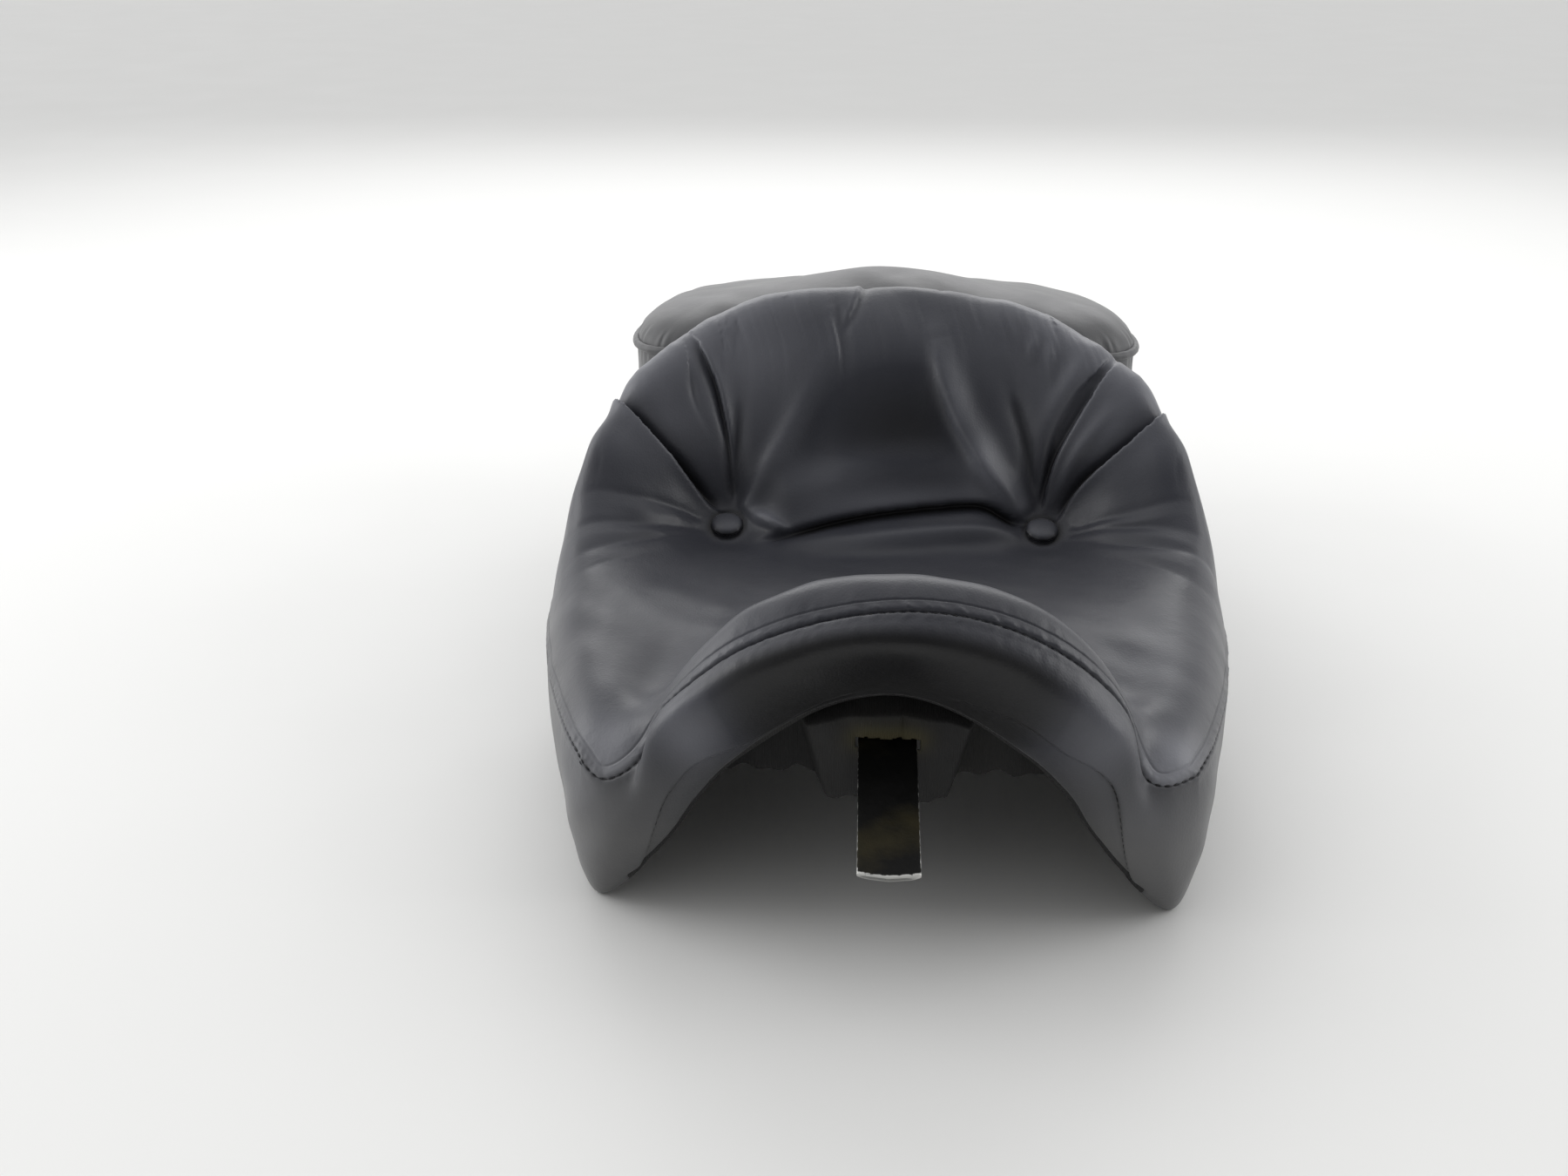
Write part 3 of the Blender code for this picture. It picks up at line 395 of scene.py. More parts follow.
zinc = new_finish("zinc_plate", (0.55, 0.55, 0.53), 0.42, 1.0)
spangle = tinted(zinc, mottle(zinc, 220, 0, 1, 4), (0.42, 0.42, 0.41), (0.62, 0.62, 0.6))
shader_input(zinc, "Base Color", spangle)
shader_input(zinc, "Roughness", mottle(zinc, 160, 0.34, 0.58))
shader_input(zinc, "Normal", relief(zinc, mottle(zinc, 500, 0, 1, 3), 0.00006))
refinish(ZINC_NODES, zinc)

# Rider's seat: foam covered by one sewn panel of black vinyl, from the nose seam over the bucket and bolster.
# Two buttons draw it in, so it gathers into deep tucks that run out from them to its edges.
RIDER_STATIONS = [
    [(0, 8, 184), (40, 8, 182), (82, 9, 165), (112, 11, 139),
     (126, 17, 118), (130, 13, 85), (146, 8, 84), (162, 20, 86)],
    [(0, 33, 200), (40, 33, 199), (82, 32, 187), (112, 29, 155),
     (127, 32, 116), (141, 31, 106), (157, 28, 100), (173, 38, 90)],
    [(0, 72, 159), (42, 70, 155), (84, 58, 128), (114, 56, 101),
     (132, 60, 97), (154, 68, 110), (173, 67, 106), (184, 71, 88)],
    [(0, 120, 131), (44, 120, 130), (88, 119, 122), (120, 118, 114),
     (144, 118, 113), (167, 117, 114), (187, 116, 108), (198, 115, 84)],
    [(0, 170, 113), (46, 170, 113), (92, 170, 113), (126, 169, 115),
     (153, 168, 118), (178, 167, 118), (199, 166, 109), (209, 165, 80)],
    [(0, 215, 105), (47, 215, 105), (94, 215, 107), (131, 214, 114),
     (160, 212, 121), (187, 210, 125), (208, 207, 114), (217, 205, 78)],
    [(0, 262, 106), (48, 262, 106), (96, 261, 109), (136, 259, 121),
     (168, 256, 138), (194, 252, 150), (211, 249, 135), (217, 246, 80)],
    [(0, 288, 148), (48, 288, 148), (96, 287, 152), (136, 284, 165),
     (166, 280, 177), (190, 275, 181), (206, 271, 160), (212, 268, 86)],
    [(0, 314, 206), (48, 314, 205), (94, 312, 204), (131, 308, 205),
     (159, 303, 203), (181, 298, 196), (196, 293, 168), (203, 290, 92)],
    [(0, 338, 249), (46, 337, 247), (90, 334, 239), (124, 329, 228),
     (150, 323, 214), (170, 318, 196), (184, 314, 166), (193, 312, 98)],
    [(0, 362, 267), (44, 361, 263), (86, 357, 250), (118, 352, 234),
     (143, 346, 213), (162, 341, 190), (176, 337, 162), (186, 335, 102)],
    [(0, 381, 252), (43, 380, 248), (84, 377, 234), (115, 372, 219),
     (138, 367, 198), (157, 362, 176), (170, 358, 152), (180, 357, 105)],
    [(0, 388, 206), (43, 387, 203), (84, 385, 193), (115, 381, 180),
     (138, 377, 165), (156, 374, 150), (169, 372, 134), (178, 371, 107)],
]
SIDE = 7
REAR = 12
TUFT_DEPTH = 14.0
TUFT_FLAT = 11.6
TUFT_SPREAD = 20.0
TUFT_AXIS = np.array([0.0, -np.sin(np.radians(30)), np.cos(np.radians(30))])
TUFT_PLACE = (2.25, 6.36)


def both_sides(half):
    """A half row from the centre outwards, with its mirror image put before it."""
    half = np.array(half, float)
    return np.vstack([half[:0:-1] * [-1, 1, 1], half])


RIDER_NET = np.array([both_sides(row) for row in RIDER_STATIONS])
# The left half of the nose has settled lower than the right
RIDER_NET[0, SIDE - 6:SIDE] += [(-5, 0, -9), (6, 0, 8), (7, 0, 2), (3, 0, -9), (0, 0, -7), (0, 0, -6)]
RIDER_NET[1, SIDE - 4:SIDE - 1] += [(0, 0, -6), (3, 0, -12), (0, 0, -6)]
TUFTS = surface(RIDER_NET, np.full(2, TUFT_PLACE[1]), SIDE + np.array([-1, 1]) * TUFT_PLACE[0])


def rider_skin(u, v):
    """The foam's shape under the vinyl: the stations' surface, eased down to a flat round each button."""
    points = surface(RIDER_NET, v, u + SIDE)
    for centre in TUFTS:
        height = (points - centre) @ TUFT_AXIS
        aside = np.linalg.norm(points - centre - height[..., None] * TUFT_AXIS, axis=-1)
        pull = (height + TUFT_DEPTH) * np.exp(-(np.maximum(aside - TUFT_FLAT, 0) / TUFT_SPREAD) ** 2)
        points = points - pull[..., None] * TUFT_AXIS
    return points


def unit(vectors):
    """Vectors brought to length one."""
    return vectors / np.maximum(np.linalg.norm(vectors, axis=-1, keepdims=True), 1e-9)


def facing(points):
    """Outward direction at each point of a grid: the cross product of its steps across and along."""
    return unit(np.cross(np.gradient(points, axis=1), np.gradient(points, axis=0)))


def along_path(skin, path, count=70):
    """A line drawn on a skin through given parameters: points, directions and outward directions."""
    first, second = spline(np.array(path, float), np.linspace(0, len(path) - 1, count)).T
    points = skin(first, second)
    step = 0.02
    out = unit(np.cross(skin(first + step, second) - skin(first - step, second),
                        skin(first, second + step) - skin(first, second - step)))
    return points, unit(np.gradient(points, axis=0)), out


def add_fold(points, out, line, strength, left, right, edge=1.0, pinch=0.5, over=0.0, draw=0.4, power=1.5,
             ease=None):
    """Moves a skin's points at a fold: height a exp(-(d/w)^power) on each side of its line, in or out.

    left and right are (height, width) as seen by someone who walks the line with the skin under foot; the
    step between them is edge wide. The widths shrink to pinch at the line's end, over slides the higher
    side across the line, draw brings the grid closer to the line, and ease scales the whole at each point.
    Returns the height that was added.
    """
    path, ahead, up = line
    reach = 3.6 * max(left[1], right[1]) + 8
    low, high = path.min(0) - reach, path.max(0) + reach
    near = np.flatnonzero(np.all((points > low) & (points < high), axis=-1).ravel())
    flat, flat_out = points.reshape(-1, 3), out.reshape(-1, 3)
    gap = flat[near][:, None, :] - path[None]
    nearest = np.argmin(np.sum(gap ** 2, -1), 1)
    gap = gap[np.arange(len(near)), nearest]
    aside = unit(np.cross(up, ahead))[nearest]
    x = np.sum(gap * aside, -1)
    x = np.where(x < 0, -1, 1) * np.hypot(x, np.sum(gap * up[nearest], -1))
    past = np.sum(gap * ahead[nearest], -1)
    share = nearest / (len(path) - 1)
    narrow = 1 + (pinch - 1) * share
    amount = np.interp(share, np.linspace(0, 1, len(strength)), strength)
    amount = amount * np.exp(-(past / (3 + 0.5 * max(left[1], right[1]))) ** 2)
    if ease is not None:
        amount = amount * ease.reshape(-1)[near]
    drawn = -draw * x * np.exp(-(x / 9.0) ** 2) * np.minimum(amount, 1)
    x = x + drawn
    step = 0.5 + 0.5 * np.tanh(x / edge)
    rise = step * left[0] * np.exp(-(np.maximum(x, 0) / (left[1] * narrow)) ** power)
    rise = rise + (1 - step) * right[0] * np.exp(-(np.maximum(-x, 0) / (right[1] * narrow)) ** power)
    slide = over * amount * np.exp(-(x / 5.0) ** 2) * (step if left[0] > right[0] else 1 - step)
    lift = rise * amount
    flat[near] += (drawn + slide)[:, None] * aside + lift[:, None] * flat_out[near]
    added = np.zeros(len(flat))
    added[near] = lift
    return added.reshape(points.shape[:-1])


# Rows and columns of the panel lie at set distances from the seam, then evenly
FROM_SEAM = np.array([0, 0.4, 0.8, 1.2, 1.7, 2.4, 3.2, 4.0, 4.8, 5.4, 5.9, 6.35, 6.8, 7.25, 7.7, 8.3, 9.2])
EVEN_ROWS = 310
EVEN_COLUMNS = 310
probe = 0.02
side_places = np.linspace(0, REAR, 97)
side_speed = np.linalg.norm(rider_skin(np.full_like(side_places, SIDE - probe), side_places)
                            - rider_skin(np.full_like(side_places, SIDE), side_places), axis=-1) / probe
front_places = np.linspace(0, SIDE, 57)
front_speed = np.linalg.norm(rider_skin(front_places, np.full_like(front_places, probe))
                             - rider_skin(front_places, np.zeros_like(front_places)), axis=-1) / probe


def seam_rows(speed, length):
    """Parameters at the set distances from a seam, then even steps on to the far edge."""
    close = FROM_SEAM[:, None] / speed
    even = np.linspace(0, 1, EVEN_ROWS + 1)[1:, None]
    return np.concatenate([close, close[-1] + (length - close[-1]) * even])


def seam_columns(speed):
    """Parameters at the set distances from both side seams, with even steps between them."""
    close = FROM_SEAM / speed[:, None]
    even = np.linspace(-1, 1, EVEN_COLUMNS + 2)[1:-1] * (SIDE - close[:, -1:])
    return np.concatenate([close - SIDE, even, SIDE - close[:, ::-1]], 1)


edge_v = seam_rows(np.array([front_speed[-1]]), REAR)[:, 0]
panel_u = seam_columns(np.interp(edge_v, side_places, side_speed))
panel_v = seam_rows(np.interp(np.abs(panel_u[0]), front_places, front_speed), REAR)
rider = rider_skin(panel_u, panel_v)
rider_out = facing(rider)

# Tucks and rolls as they lie on this seat: path in (u, v), strength along it, then left and right sides
SWELL = {"pinch": 1, "draw": 0, "power": 2}
SOFT = {"draw": 0, "power": 2}
FOLDS = [
    # shoulders that swell between the tucks, and the lobes beside the buttons
    ([(-4.7, 8.9), (-3.9, 9.4), (-3.0, 9.8), (-2.0, 10.0)], (0.5, 1, 1, 0.5), (7, 20), (7, 22), SWELL),
    ([(4.7, 8.9), (3.9, 9.4), (3.0, 9.8), (2.0, 10.0)], (0.5, 1, 1, 0.5), (7, 22), (7, 20), SWELL),
    ([(-5.2, 8.6), (-4.5, 8.9), (-3.9, 9.3)], (0.8, 1, 0.5), (8, 15), (8, 16), SWELL),
    ([(5.2, 8.6), (4.5, 8.9), (3.9, 9.3)], (0.8, 1, 0.5), (8, 16), (8, 15), SWELL),
    ([(-5.2, 7.2), (-4.3, 6.9), (-3.6, 6.75)], (0.6, 1, 0.6), (4, 20), (4, 20), SWELL),
    ([(5.2, 7.2), (4.3, 6.9), (3.6, 6.75)], (0.6, 1, 0.6), (4, 20), (4, 20), SWELL),
    ([(-3.9, 9.3), (-3.5, 9.55), (-3.1, 9.75)], (0.4, 1, 0.5), (5, 12), (5, 14), SWELL),
    ([(-3.0, 9.9), (-2.2, 9.95), (-1.4, 10.0), (-0.8, 10.0)], (0.5, 1, 1, 0.3), (6, 18), (6, 20), SWELL),
    ([(0.8, 10.0), (1.8, 10.0), (2.6, 9.9), (3.3, 9.6)], (0.4, 1, 1, 0.5), (3.5, 18), (3.5, 18), SWELL),
    # left: the long tuck, then the leaf between two creases above the button
    ([(-5.4, 8.7), (-4.67, 7.83), (-4.31, 7.53), (-3.91, 7.27), (-3.6, 7.1), (-3.11, 6.88),
      (-2.76, 6.74), (-2.49, 6.65)],
     (0.3, 0.8, 1, 1, 1, 1, 1, 0.7), (-10, 11), (3, 7), {"edge": 0.8, "over": 1.5}),
    ([(-3.6, 10.0), (-3.38, 8.91), (-3.16, 8.3), (-2.99, 7.91), (-2.81, 7.64), (-2.55, 7.35)],
     (0.6, 1, 1, 0.8, 0.5, 0.1), (-3, 2.5), (-3, 3), {}),
    ([(-3.5, 9.9), (-3.11, 9.0), (-2.76, 8.43), (-2.48, 8.0), (-2.37, 7.7), (-2.28, 7.48),
      (-2.22, 7.2), (-2.19, 6.95)],
     (0.5, 1, 1, 1, 1, 0.9, 0.7, 0.4), (3, 5), (-8, 6), {"edge": 0.7, "over": -1.2}),
    ([(-2.85, 10.0), (-2.67, 8.92), (-2.52, 8.35)], (0.7, 1, 0.2), (-2, 3), (-2, 3.5), {}),
    ([(-2.6, 10.1), (-2.58, 9.14), (-2.5, 8.61), (-2.41, 8.1)], (0.6, 1, 0.8, 0.1), (2, 3.5),
      (2, 3.5), {}),
    ([(-2.42, 10.2), (-2.36, 9.14), (-2.34, 8.5)], (0.8, 1, 0.2), (-2.2, 3.5), (-2.2, 4), {}),
    ([(-2.2, 8.3), (-2.15, 7.7), (-2.14, 7.36), (-2.17, 6.9)], (0.2, 0.8, 1, 0.9), (-4.5, 9),
      (-4.5, 8), SOFT),
    ([(-0.85, 8.4), (-1.3, 7.55), (-1.65, 7.1), (-1.92, 6.75)], (0.2, 0.8, 1, 0.8), (4, 13),
      (4.5, 9), SOFT),
    # gathers at the crest
    ([(-0.4, 10.4), (-0.44, 9.6), (-0.55, 8.98), (-0.66, 8.7)], (0.8, 1, 0.8, 0.1), (-2.6, 5),
      (2, 4), {"edge": 0.9}),
    ([(-0.86, 9.35), (-0.77, 8.83), (-0.68, 8.57), (-0.62, 7.9)], (0.2, 1, 0.9, 0.1), (-3, 9),
      (1.8, 4), {"edge": 1.0}),
    ([(-1.5, 10.4), (-1.55, 9.8), (-1.62, 9.3)], (0.7, 1, 0.2), (-1.2, 3), (-1.2, 5), {}),
    ([(0.8, 10.5), (0.82, 10.1), (0.9, 9.7)], (1, 0.8, 0.1), (-1.4, 3), (-1.4, 3), {}),
    ([(2.5, 10.4), (2.58, 9.78), (2.71, 9.48), (2.66, 9.1)], (0.8, 1, 0.9, 0.1), (1.2, 5),
      (-2.2, 5), {"edge": 1.8}),
    ([(2.62, 9.3), (2.5, 8.69), (2.42, 8.1)], (0.5, 1, 0.1), (2.6, 4), (2.6, 5), {"power": 2}),
    ([(2.3, 9.2), (2.19, 8.79), (2.08, 8.4)], (0.4, 1, 0.1), (2.0, 4), (2.0, 5), {"power": 2}),
    ([(3.1, 9.5), (2.95, 9.1), (2.8, 8.75)], (0.4, 1, 0.1), (2.2, 4), (2.2, 5), {"power": 2}),
    # right: the dark pocket with its soft and sharp edges, the ridge below it and the overlapping tuck
    ([(4.25, 9.75), (3.6, 8.8), (3.2, 8.37), (2.63, 7.79), (2.37, 7.44), (2.28, 7.17), (2.23, 6.88)],
     (0.4, 1, 1, 1, 1, 0.8, 0.5), (-5, 6), (1, 6), {"edge": 2.0}),
    ([(4.3, 9.6), (3.56, 8.36), (3.03, 7.8), (2.68, 7.41), (2.45, 7.18), (2.34, 6.95), (2.27, 6.78)],
     (0.4, 1, 1, 1, 1, 0.8, 0.5), (2.5, 5), (-6.5, 7), {"edge": 0.7, "over": -1.4}),
    ([(3.6, 9.3), (2.9, 8.32), (2.45, 7.86), (2.23, 7.5)], (0.8, 1, 0.7, 0.3), (3, 7), (3, 8), SOFT),
    ([(3.6, 9.35), (3.1, 9.05)], (1, 0.7), (3, 10), (3, 10), SWELL),
    ([(3.5, 7.7), (2.81, 7.19), (2.59, 6.99), (2.41, 6.8)], (0.3, 1, 1, 0.6), (3, 4.5), (3, 5), SOFT),
    ([(5.3, 8.4), (4.71, 7.64), (4.09, 7.23), (3.65, 7.03), (3.29, 6.9), (2.89, 6.82), (2.68, 6.72),
      (2.52, 6.55)],
     (0.3, 0.8, 1, 1, 1, 1, 0.8, 0.5), (3, 6), (-9, 10), {"edge": 0.7, "over": -1.6}),
    # the slanting ridge and the hollow between it and the right button's tucks
    ([(0.66, 8.7), (0.73, 8.19), (0.86, 7.89), (1.0, 7.59), (1.22, 7.3), (1.42, 7.0), (1.63, 6.86),
      (1.85, 6.72)],
     (0.15, 0.6, 0.9, 1, 1, 1, 1, 0.7), (9, 15), (9, 4.5), {"pinch": 0.85, "power": 2}),
    ([(1.7, 8.3), (1.88, 7.74), (2.01, 7.4), (2.12, 6.9)], (0.2, 0.9, 1, 0.8), (-5, 8), (-5, 8), SOFT),
    # the roll between the buttons, the deep crease under it and the low pad in front
    ([(-1.3, 6.85), (-0.6, 6.98), (0.2, 7.08), (1.2, 7.1)], (0.4, 1, 1, 0.6), (7, 17), (7, 14), SWELL),
    ([(-1.52, 6.13), (-1.0, 6.36), (-0.4, 6.53), (0.3, 6.63), (0.9, 6.69), (1.35, 6.71), (1.7, 6.66),
      (1.95, 6.54)],
     (0.4, 0.9, 1, 1, 1, 1, 1, 0.6), (2.5, 8), (-11, 7), {"pinch": 0.9, "edge": 1.0, "over": -3.0}),
    ([(-0.9, 5.98), (0.1, 6.15), (1.1, 6.28), (1.75, 6.25)], (0.4, 1, 1, 0.6), (4, 8), (4, 12), SOFT),
    ([(-1.95, 6.62), (-1.72, 6.46), (-1.5, 6.27), (-1.4, 6.2)], (0.6, 1, 1, 0.7), (6.5, 7),
      (6.5, 5), SOFT),
    # creases that run out sideways from the buttons
    ([(-5.3, 6.12), (-4.0, 6.12), (-3.1, 6.36), (-2.7, 6.42)], (0.1, 0.7, 1, 0.7), (-1.8, 3.2),
      (-1.8, 3.2), {}),
    ([(-5.1, 5.88), (-3.9, 5.9), (-3.1, 6.17)], (0.1, 0.8, 0.7), (0.9, 4), (0.9, 4), {}),
    ([(-5.75, 5.52), (-4.55, 5.58), (-3.5, 5.82), (-2.7, 6.2)], (0.1, 0.8, 1, 0.6), (-1.8, 3),
      (-1.8, 4), {}),
    ([(-5.6, 5.27), (-4.5, 5.33), (-3.4, 5.68)], (0.1, 0.8, 0.7), (0.8, 4), (0.8, 5), {}),
    ([(-5.8, 4.95), (-4.7, 5.06), (-3.5, 5.5), (-2.8, 5.98)], (0.1, 0.8, 1, 0.4), (-1.3, 4),
      (-1.3, 5), {}),
    ([(-5.6, 4.55), (-4.6, 4.68), (-3.6, 5.15)], (0.1, 0.8, 0.3), (-0.8, 5), (-0.8, 6), {}),
    ([(5.4, 6.15), (4.25, 6.05), (3.25, 6.22), (2.72, 6.38)], (0.1, 0.7, 1, 0.6), (-1.6, 3),
      (-1.6, 3), {}),
    ([(5.3, 5.9), (4.3, 5.84), (3.4, 6.02), (2.8, 6.26)], (0.1, 0.7, 1, 0.5), (1.0, 3), (1.0, 3), {}),
    ([(5.6, 5.62), (5.0, 5.6), (3.9, 5.8), (2.8, 6.2)], (0.1, 0.6, 1, 0.6), (-1.5, 3), (-1.5, 3), {}),
    ([(5.4, 5.36), (4.9, 5.4), (3.8, 5.65), (2.8, 6.1)], (0.1, 0.6, 1, 0.5), (1.0, 3), (1.0, 3), {}),
    ([(6.2, 5.25), (4.85, 5.18), (3.4, 5.55), (2.7, 6.06)], (0.2, 0.8, 1, 0.5), (-1.6, 3), (-1.6, 4), {}),
    ([(6.0, 4.85), (4.5, 4.95), (3.1, 5.6)], (0.1, 0.8, 0.5), (0.8, 4), (0.8, 5), {}),
    ([(6.0, 4.55), (4.8, 4.65), (3.3, 5.3)], (0.1, 0.8, 0.3), (-0.8, 5), (-0.8, 6), {}),
]
pressed = np.zeros(rider.shape[:2])
to_button = np.min([np.linalg.norm(rider - tuft + TUFT_DEPTH * TUFT_AXIS, axis=-1)
                    for tuft in TUFTS], axis=0)
off_button = np.clip((to_button - 9) / 12, 0, 1)
for path, strength, left, right, more in FOLDS:
    pressed += add_fold(rider, rider_out, along_path(rider_skin, path), strength, left, right,
                        ease=off_button, **more)


def smoothed(field, passes):
    """A grid's values eased by passes of the weights 1, 2, 1 along and across, with its border kept."""
    field = field.copy()
    for _ in range(passes):
        field[1:-1] = (field[:-2] + 2 * field[1:-1] + field[2:]) / 4
        field[:, 1:-1] = (field[:, :-2] + 2 * field[:, 1:-1] + field[:, 2:]) / 4
    return field


foam = rider_skin(panel_u, panel_v)
rider = foam + smoothed(rider - foam, 1)

CLOTH_STEP = 6
CLOTH_FRAMES = 16
CLOTH_PRESSURE = 0.6
CLOTH_CAP = 2.5


def swelled(points, held):
    """How far a padded skin moves when it swells as cloth between its held points, in millimetres.

    A coarse copy of the grid goes through the cloth solver with inside pressure and no gravity. The movement
    is capped, eased and carried back to the full grid.
    """
    rows, columns = points.shape[:2]
    row_at = np.unique(np.append(np.arange(0, rows, CLOTH_STEP), rows - 1))
    column_at = np.unique(np.append(np.arange(0, columns, CLOTH_STEP), columns - 1))
    start = in_frame(points[np.ix_(row_at, column_at)])
    mesh = bpy.data.meshes.new("cloth_trial")
    mesh.from_pydata(start.reshape(-1, 3).tolist(), [], grid_faces(start))
    trial = bpy.data.objects.new("cloth_trial", mesh)
    scene = bpy.context.scene
    scene.collection.objects.link(trial)
    pins = trial.vertex_groups.new(name="held")
    pins.add(np.flatnonzero(held[np.ix_(row_at, column_at)]).tolist(), 1.0, "REPLACE")
    cloth = trial.modifiers.new("swell", "CLOTH")
    cloth.settings.vertex_group_mass = "held"
    cloth.settings.use_pressure = True
    cloth.settings.uniform_pressure_force = CLOTH_PRESSURE
    cloth.settings.effector_weights.gravity = 0
    cloth.collision_settings.use_collision = False
    cloth.point_cache.frame_end = CLOTH_FRAMES
    for number in range(1, CLOTH_FRAMES + 1):
        scene.frame_set(number)
    settled = trial.evaluated_get(bpy.context.evaluated_depsgraph_get()).data
    moved = np.empty(len(mesh.vertices) * 3, np.float32)
    settled.vertices.foreach_get("co", moved)
    move = (moved.reshape(start.shape) - start) * 1000
    scene.frame_set(1)
    bpy.data.objects.remove(trial)
    bpy.data.meshes.remove(mesh)
    length = np.linalg.norm(move, axis=-1, keepdims=True)
    move = smoothed(move * np.minimum(1, CLOTH_CAP / np.maximum(length, 1e-6)), 1)
    row_share = np.interp(np.arange(rows), row_at, np.arange(len(row_at)))
    column_share = np.interp(np.arange(columns), column_at, np.arange(len(column_at)))
    return surface(move, *np.meshgrid(row_share, column_share, indexing="ij"))


# The vinyl swells between the lines where tucks, buttons and seams hold it down
held = (to_button < 14) | (pressed < -2.5)
held[[0, -1]] = True
held[:, [0, -1]] = True
rider = rider + swelled(rider, held)


def ripple(place, *waves):
    """An uneven ripple of about unit height: sines of unlike wavelengths, each with its own slow shift."""
    total = np.zeros_like(place)
    for number, wave in enumerate(waves):
        shift = 1.7 * number + 1.3 * np.sin(place / (wave * 2.9) + number)
        total += np.sin(2 * np.pi * place / wave + shift)
    return total / np.sqrt(len(waves))


# Fine gathers that hang from the crest, and the slight unevenness of vinyl over foam
crest = np.exp(-((panel_v - 9.1) / 0.75) ** 2) * np.exp(-(panel_u / 3.6) ** 4)
gathers = 0.3 * crest * ripple(rider[..., 0] + 6 * np.sin(panel_v * 2.1), 7.3, 11.9, 4.7)
uneven = (0.45 * ripple(rider[..., 0] + 0.4 * rider[..., 1], 61, 37)
          * ripple(rider[..., 1] - 0.3 * rider[..., 0], 83, 47))
calm = np.clip((to_button - 16) / 25, 0, 1) * np.clip(panel_v / 0.5, 0, 1)
rider = rider + ((gathers + uneven) * calm)[..., None] * rider_out

# Rider's skirt: the vinyl below the seam, in one length round the nose, ears and sides, turned under the rim.
# It is sewn to the top panel, top-stitched, and stapled under the edge of the pan.
ARCH_EDGE = [(0, 30, 127), (38, 29, 114), (63, 25, 97), (83, 20, 85), (100, 18, 65), (119, 16, 32),
             (157, 10, 1), (167, 28, 7)]
RIM_EDGE = [(171, 42, 8), (179, 75, 9), (191, 118, 9), (201, 167, 9), (207, 208, 9), (208, 250, 9),
            (205, 278, 9), (200, 306, 9), (194, 334, 9), (188, 362, 9), (182, 392, 10), (177, 420, 14)]
SKIRT_SWELL = [((0, -27, 9), (0, -15, 0)), ((1, -27, 10), (0, -16, 1)), ((4, -26, 8), (1, -18, 0)),
               ((9, -25, 7), (3, -22, 0)), ((12, -20, 9), (3, -17, 1)), ((5, -12, 8), (-1, -12, 0)),
               ((-3, -8, 0), (-3, -9, 0)), ((3, -7, 0), (4, -7, 0)), ((4, -4, 0), (4, -4, 0))]
RIM_SWELL = ((4, 0, 0), (5, 0, 0))
HEM_STEPS = [(-2.5, 0, -11), (-12, 0, -7), (-23, 0, -3.5)]
EAR_HEM = [[(153, 19, -8), (163, 31, -5), (168, 44, -4)], [(147, 30, 0), (154, 37, 1), (158, 48, 1)],
           [(140, 40, 7), (145, 44, 6), (148, 53, 5)]]
ARCH_COLUMNS = 6
LINING_FOLD = (0, 8, -3)
LINING_END = 42.0
LINING_REACH = 5.6
VINYL_THICKNESS = 1.3
EDGE_ROW = 3
HEM_ROW = 6


def skirt_net():
    """Control rows from the seam down to the lower edge, its fold, and on under it to the hem or the pan."""
    seam = np.array(RIDER_STATIONS[0] + [row[-1] for row in RIDER_STATIONS[1:]], float)
    edge = np.array(ARCH_EDGE + RIM_EDGE, float)
    swell = np.array(SKIRT_SWELL + [RIM_SWELL] * (len(edge) - len(SKIRT_SWELL)), float)
    upper = seam * 2 / 3 + edge / 3 + swell[:, 0]
    lower = seam / 3 + edge * 2 / 3 + swell[:, 1]
    fold, under, end = (edge + step for step in HEM_STEPS)
    arch = slice(0, ARCH_COLUMNS)
    fold[arch] = edge[arch] + LINING_FOLD
    x = edge[arch, 0] * 1.05
    tuck = pan_height(x, np.full(len(x), LINING_END + 4)) - PAN_THICKNESS / 2
    end[arch] = np.stack([x, np.full(len(x), LINING_END), tuck], -1)
    under[arch] = (fold[arch] + end[arch]) / 2
    for row, corner in zip((fold, under, end), EAR_HEM):
        row[ARCH_COLUMNS:ARCH_COLUMNS + len(corner)] = corner
    return np.array([both_sides(row) for row in (seam, upper, lower, edge, fold, under, end)])


SKIRT_NET = skirt_net()
LAST = SIDE + REAR


def seam_point(k):
    """The sewn edge of the top panel: down the left side, round the nose and back along the right side."""
    front = rider_skin(np.clip(k, -SIDE, SIDE), np.zeros_like(k))
    side = rider_skin(np.full_like(k, SIDE), np.clip(np.abs(k) - SIDE, 0, REAR))
    side = side * np.stack([np.sign(k), np.ones_like(k), np.ones_like(k)], -1)
    return np.where((np.abs(k) > SIDE)[..., None], side, front)


def skirt_skin(k, s):
    """The skirt: its control rows' surface, brought onto the seam along its top row."""
    lift = seam_point(k) - surface(SKIRT_NET, np.zeros_like(k), k + LAST)
    fade = np.clip(1 - s, 0, 1) ** 2
    return surface(SKIRT_NET, s, k + LAST) + fade[..., None] * lift


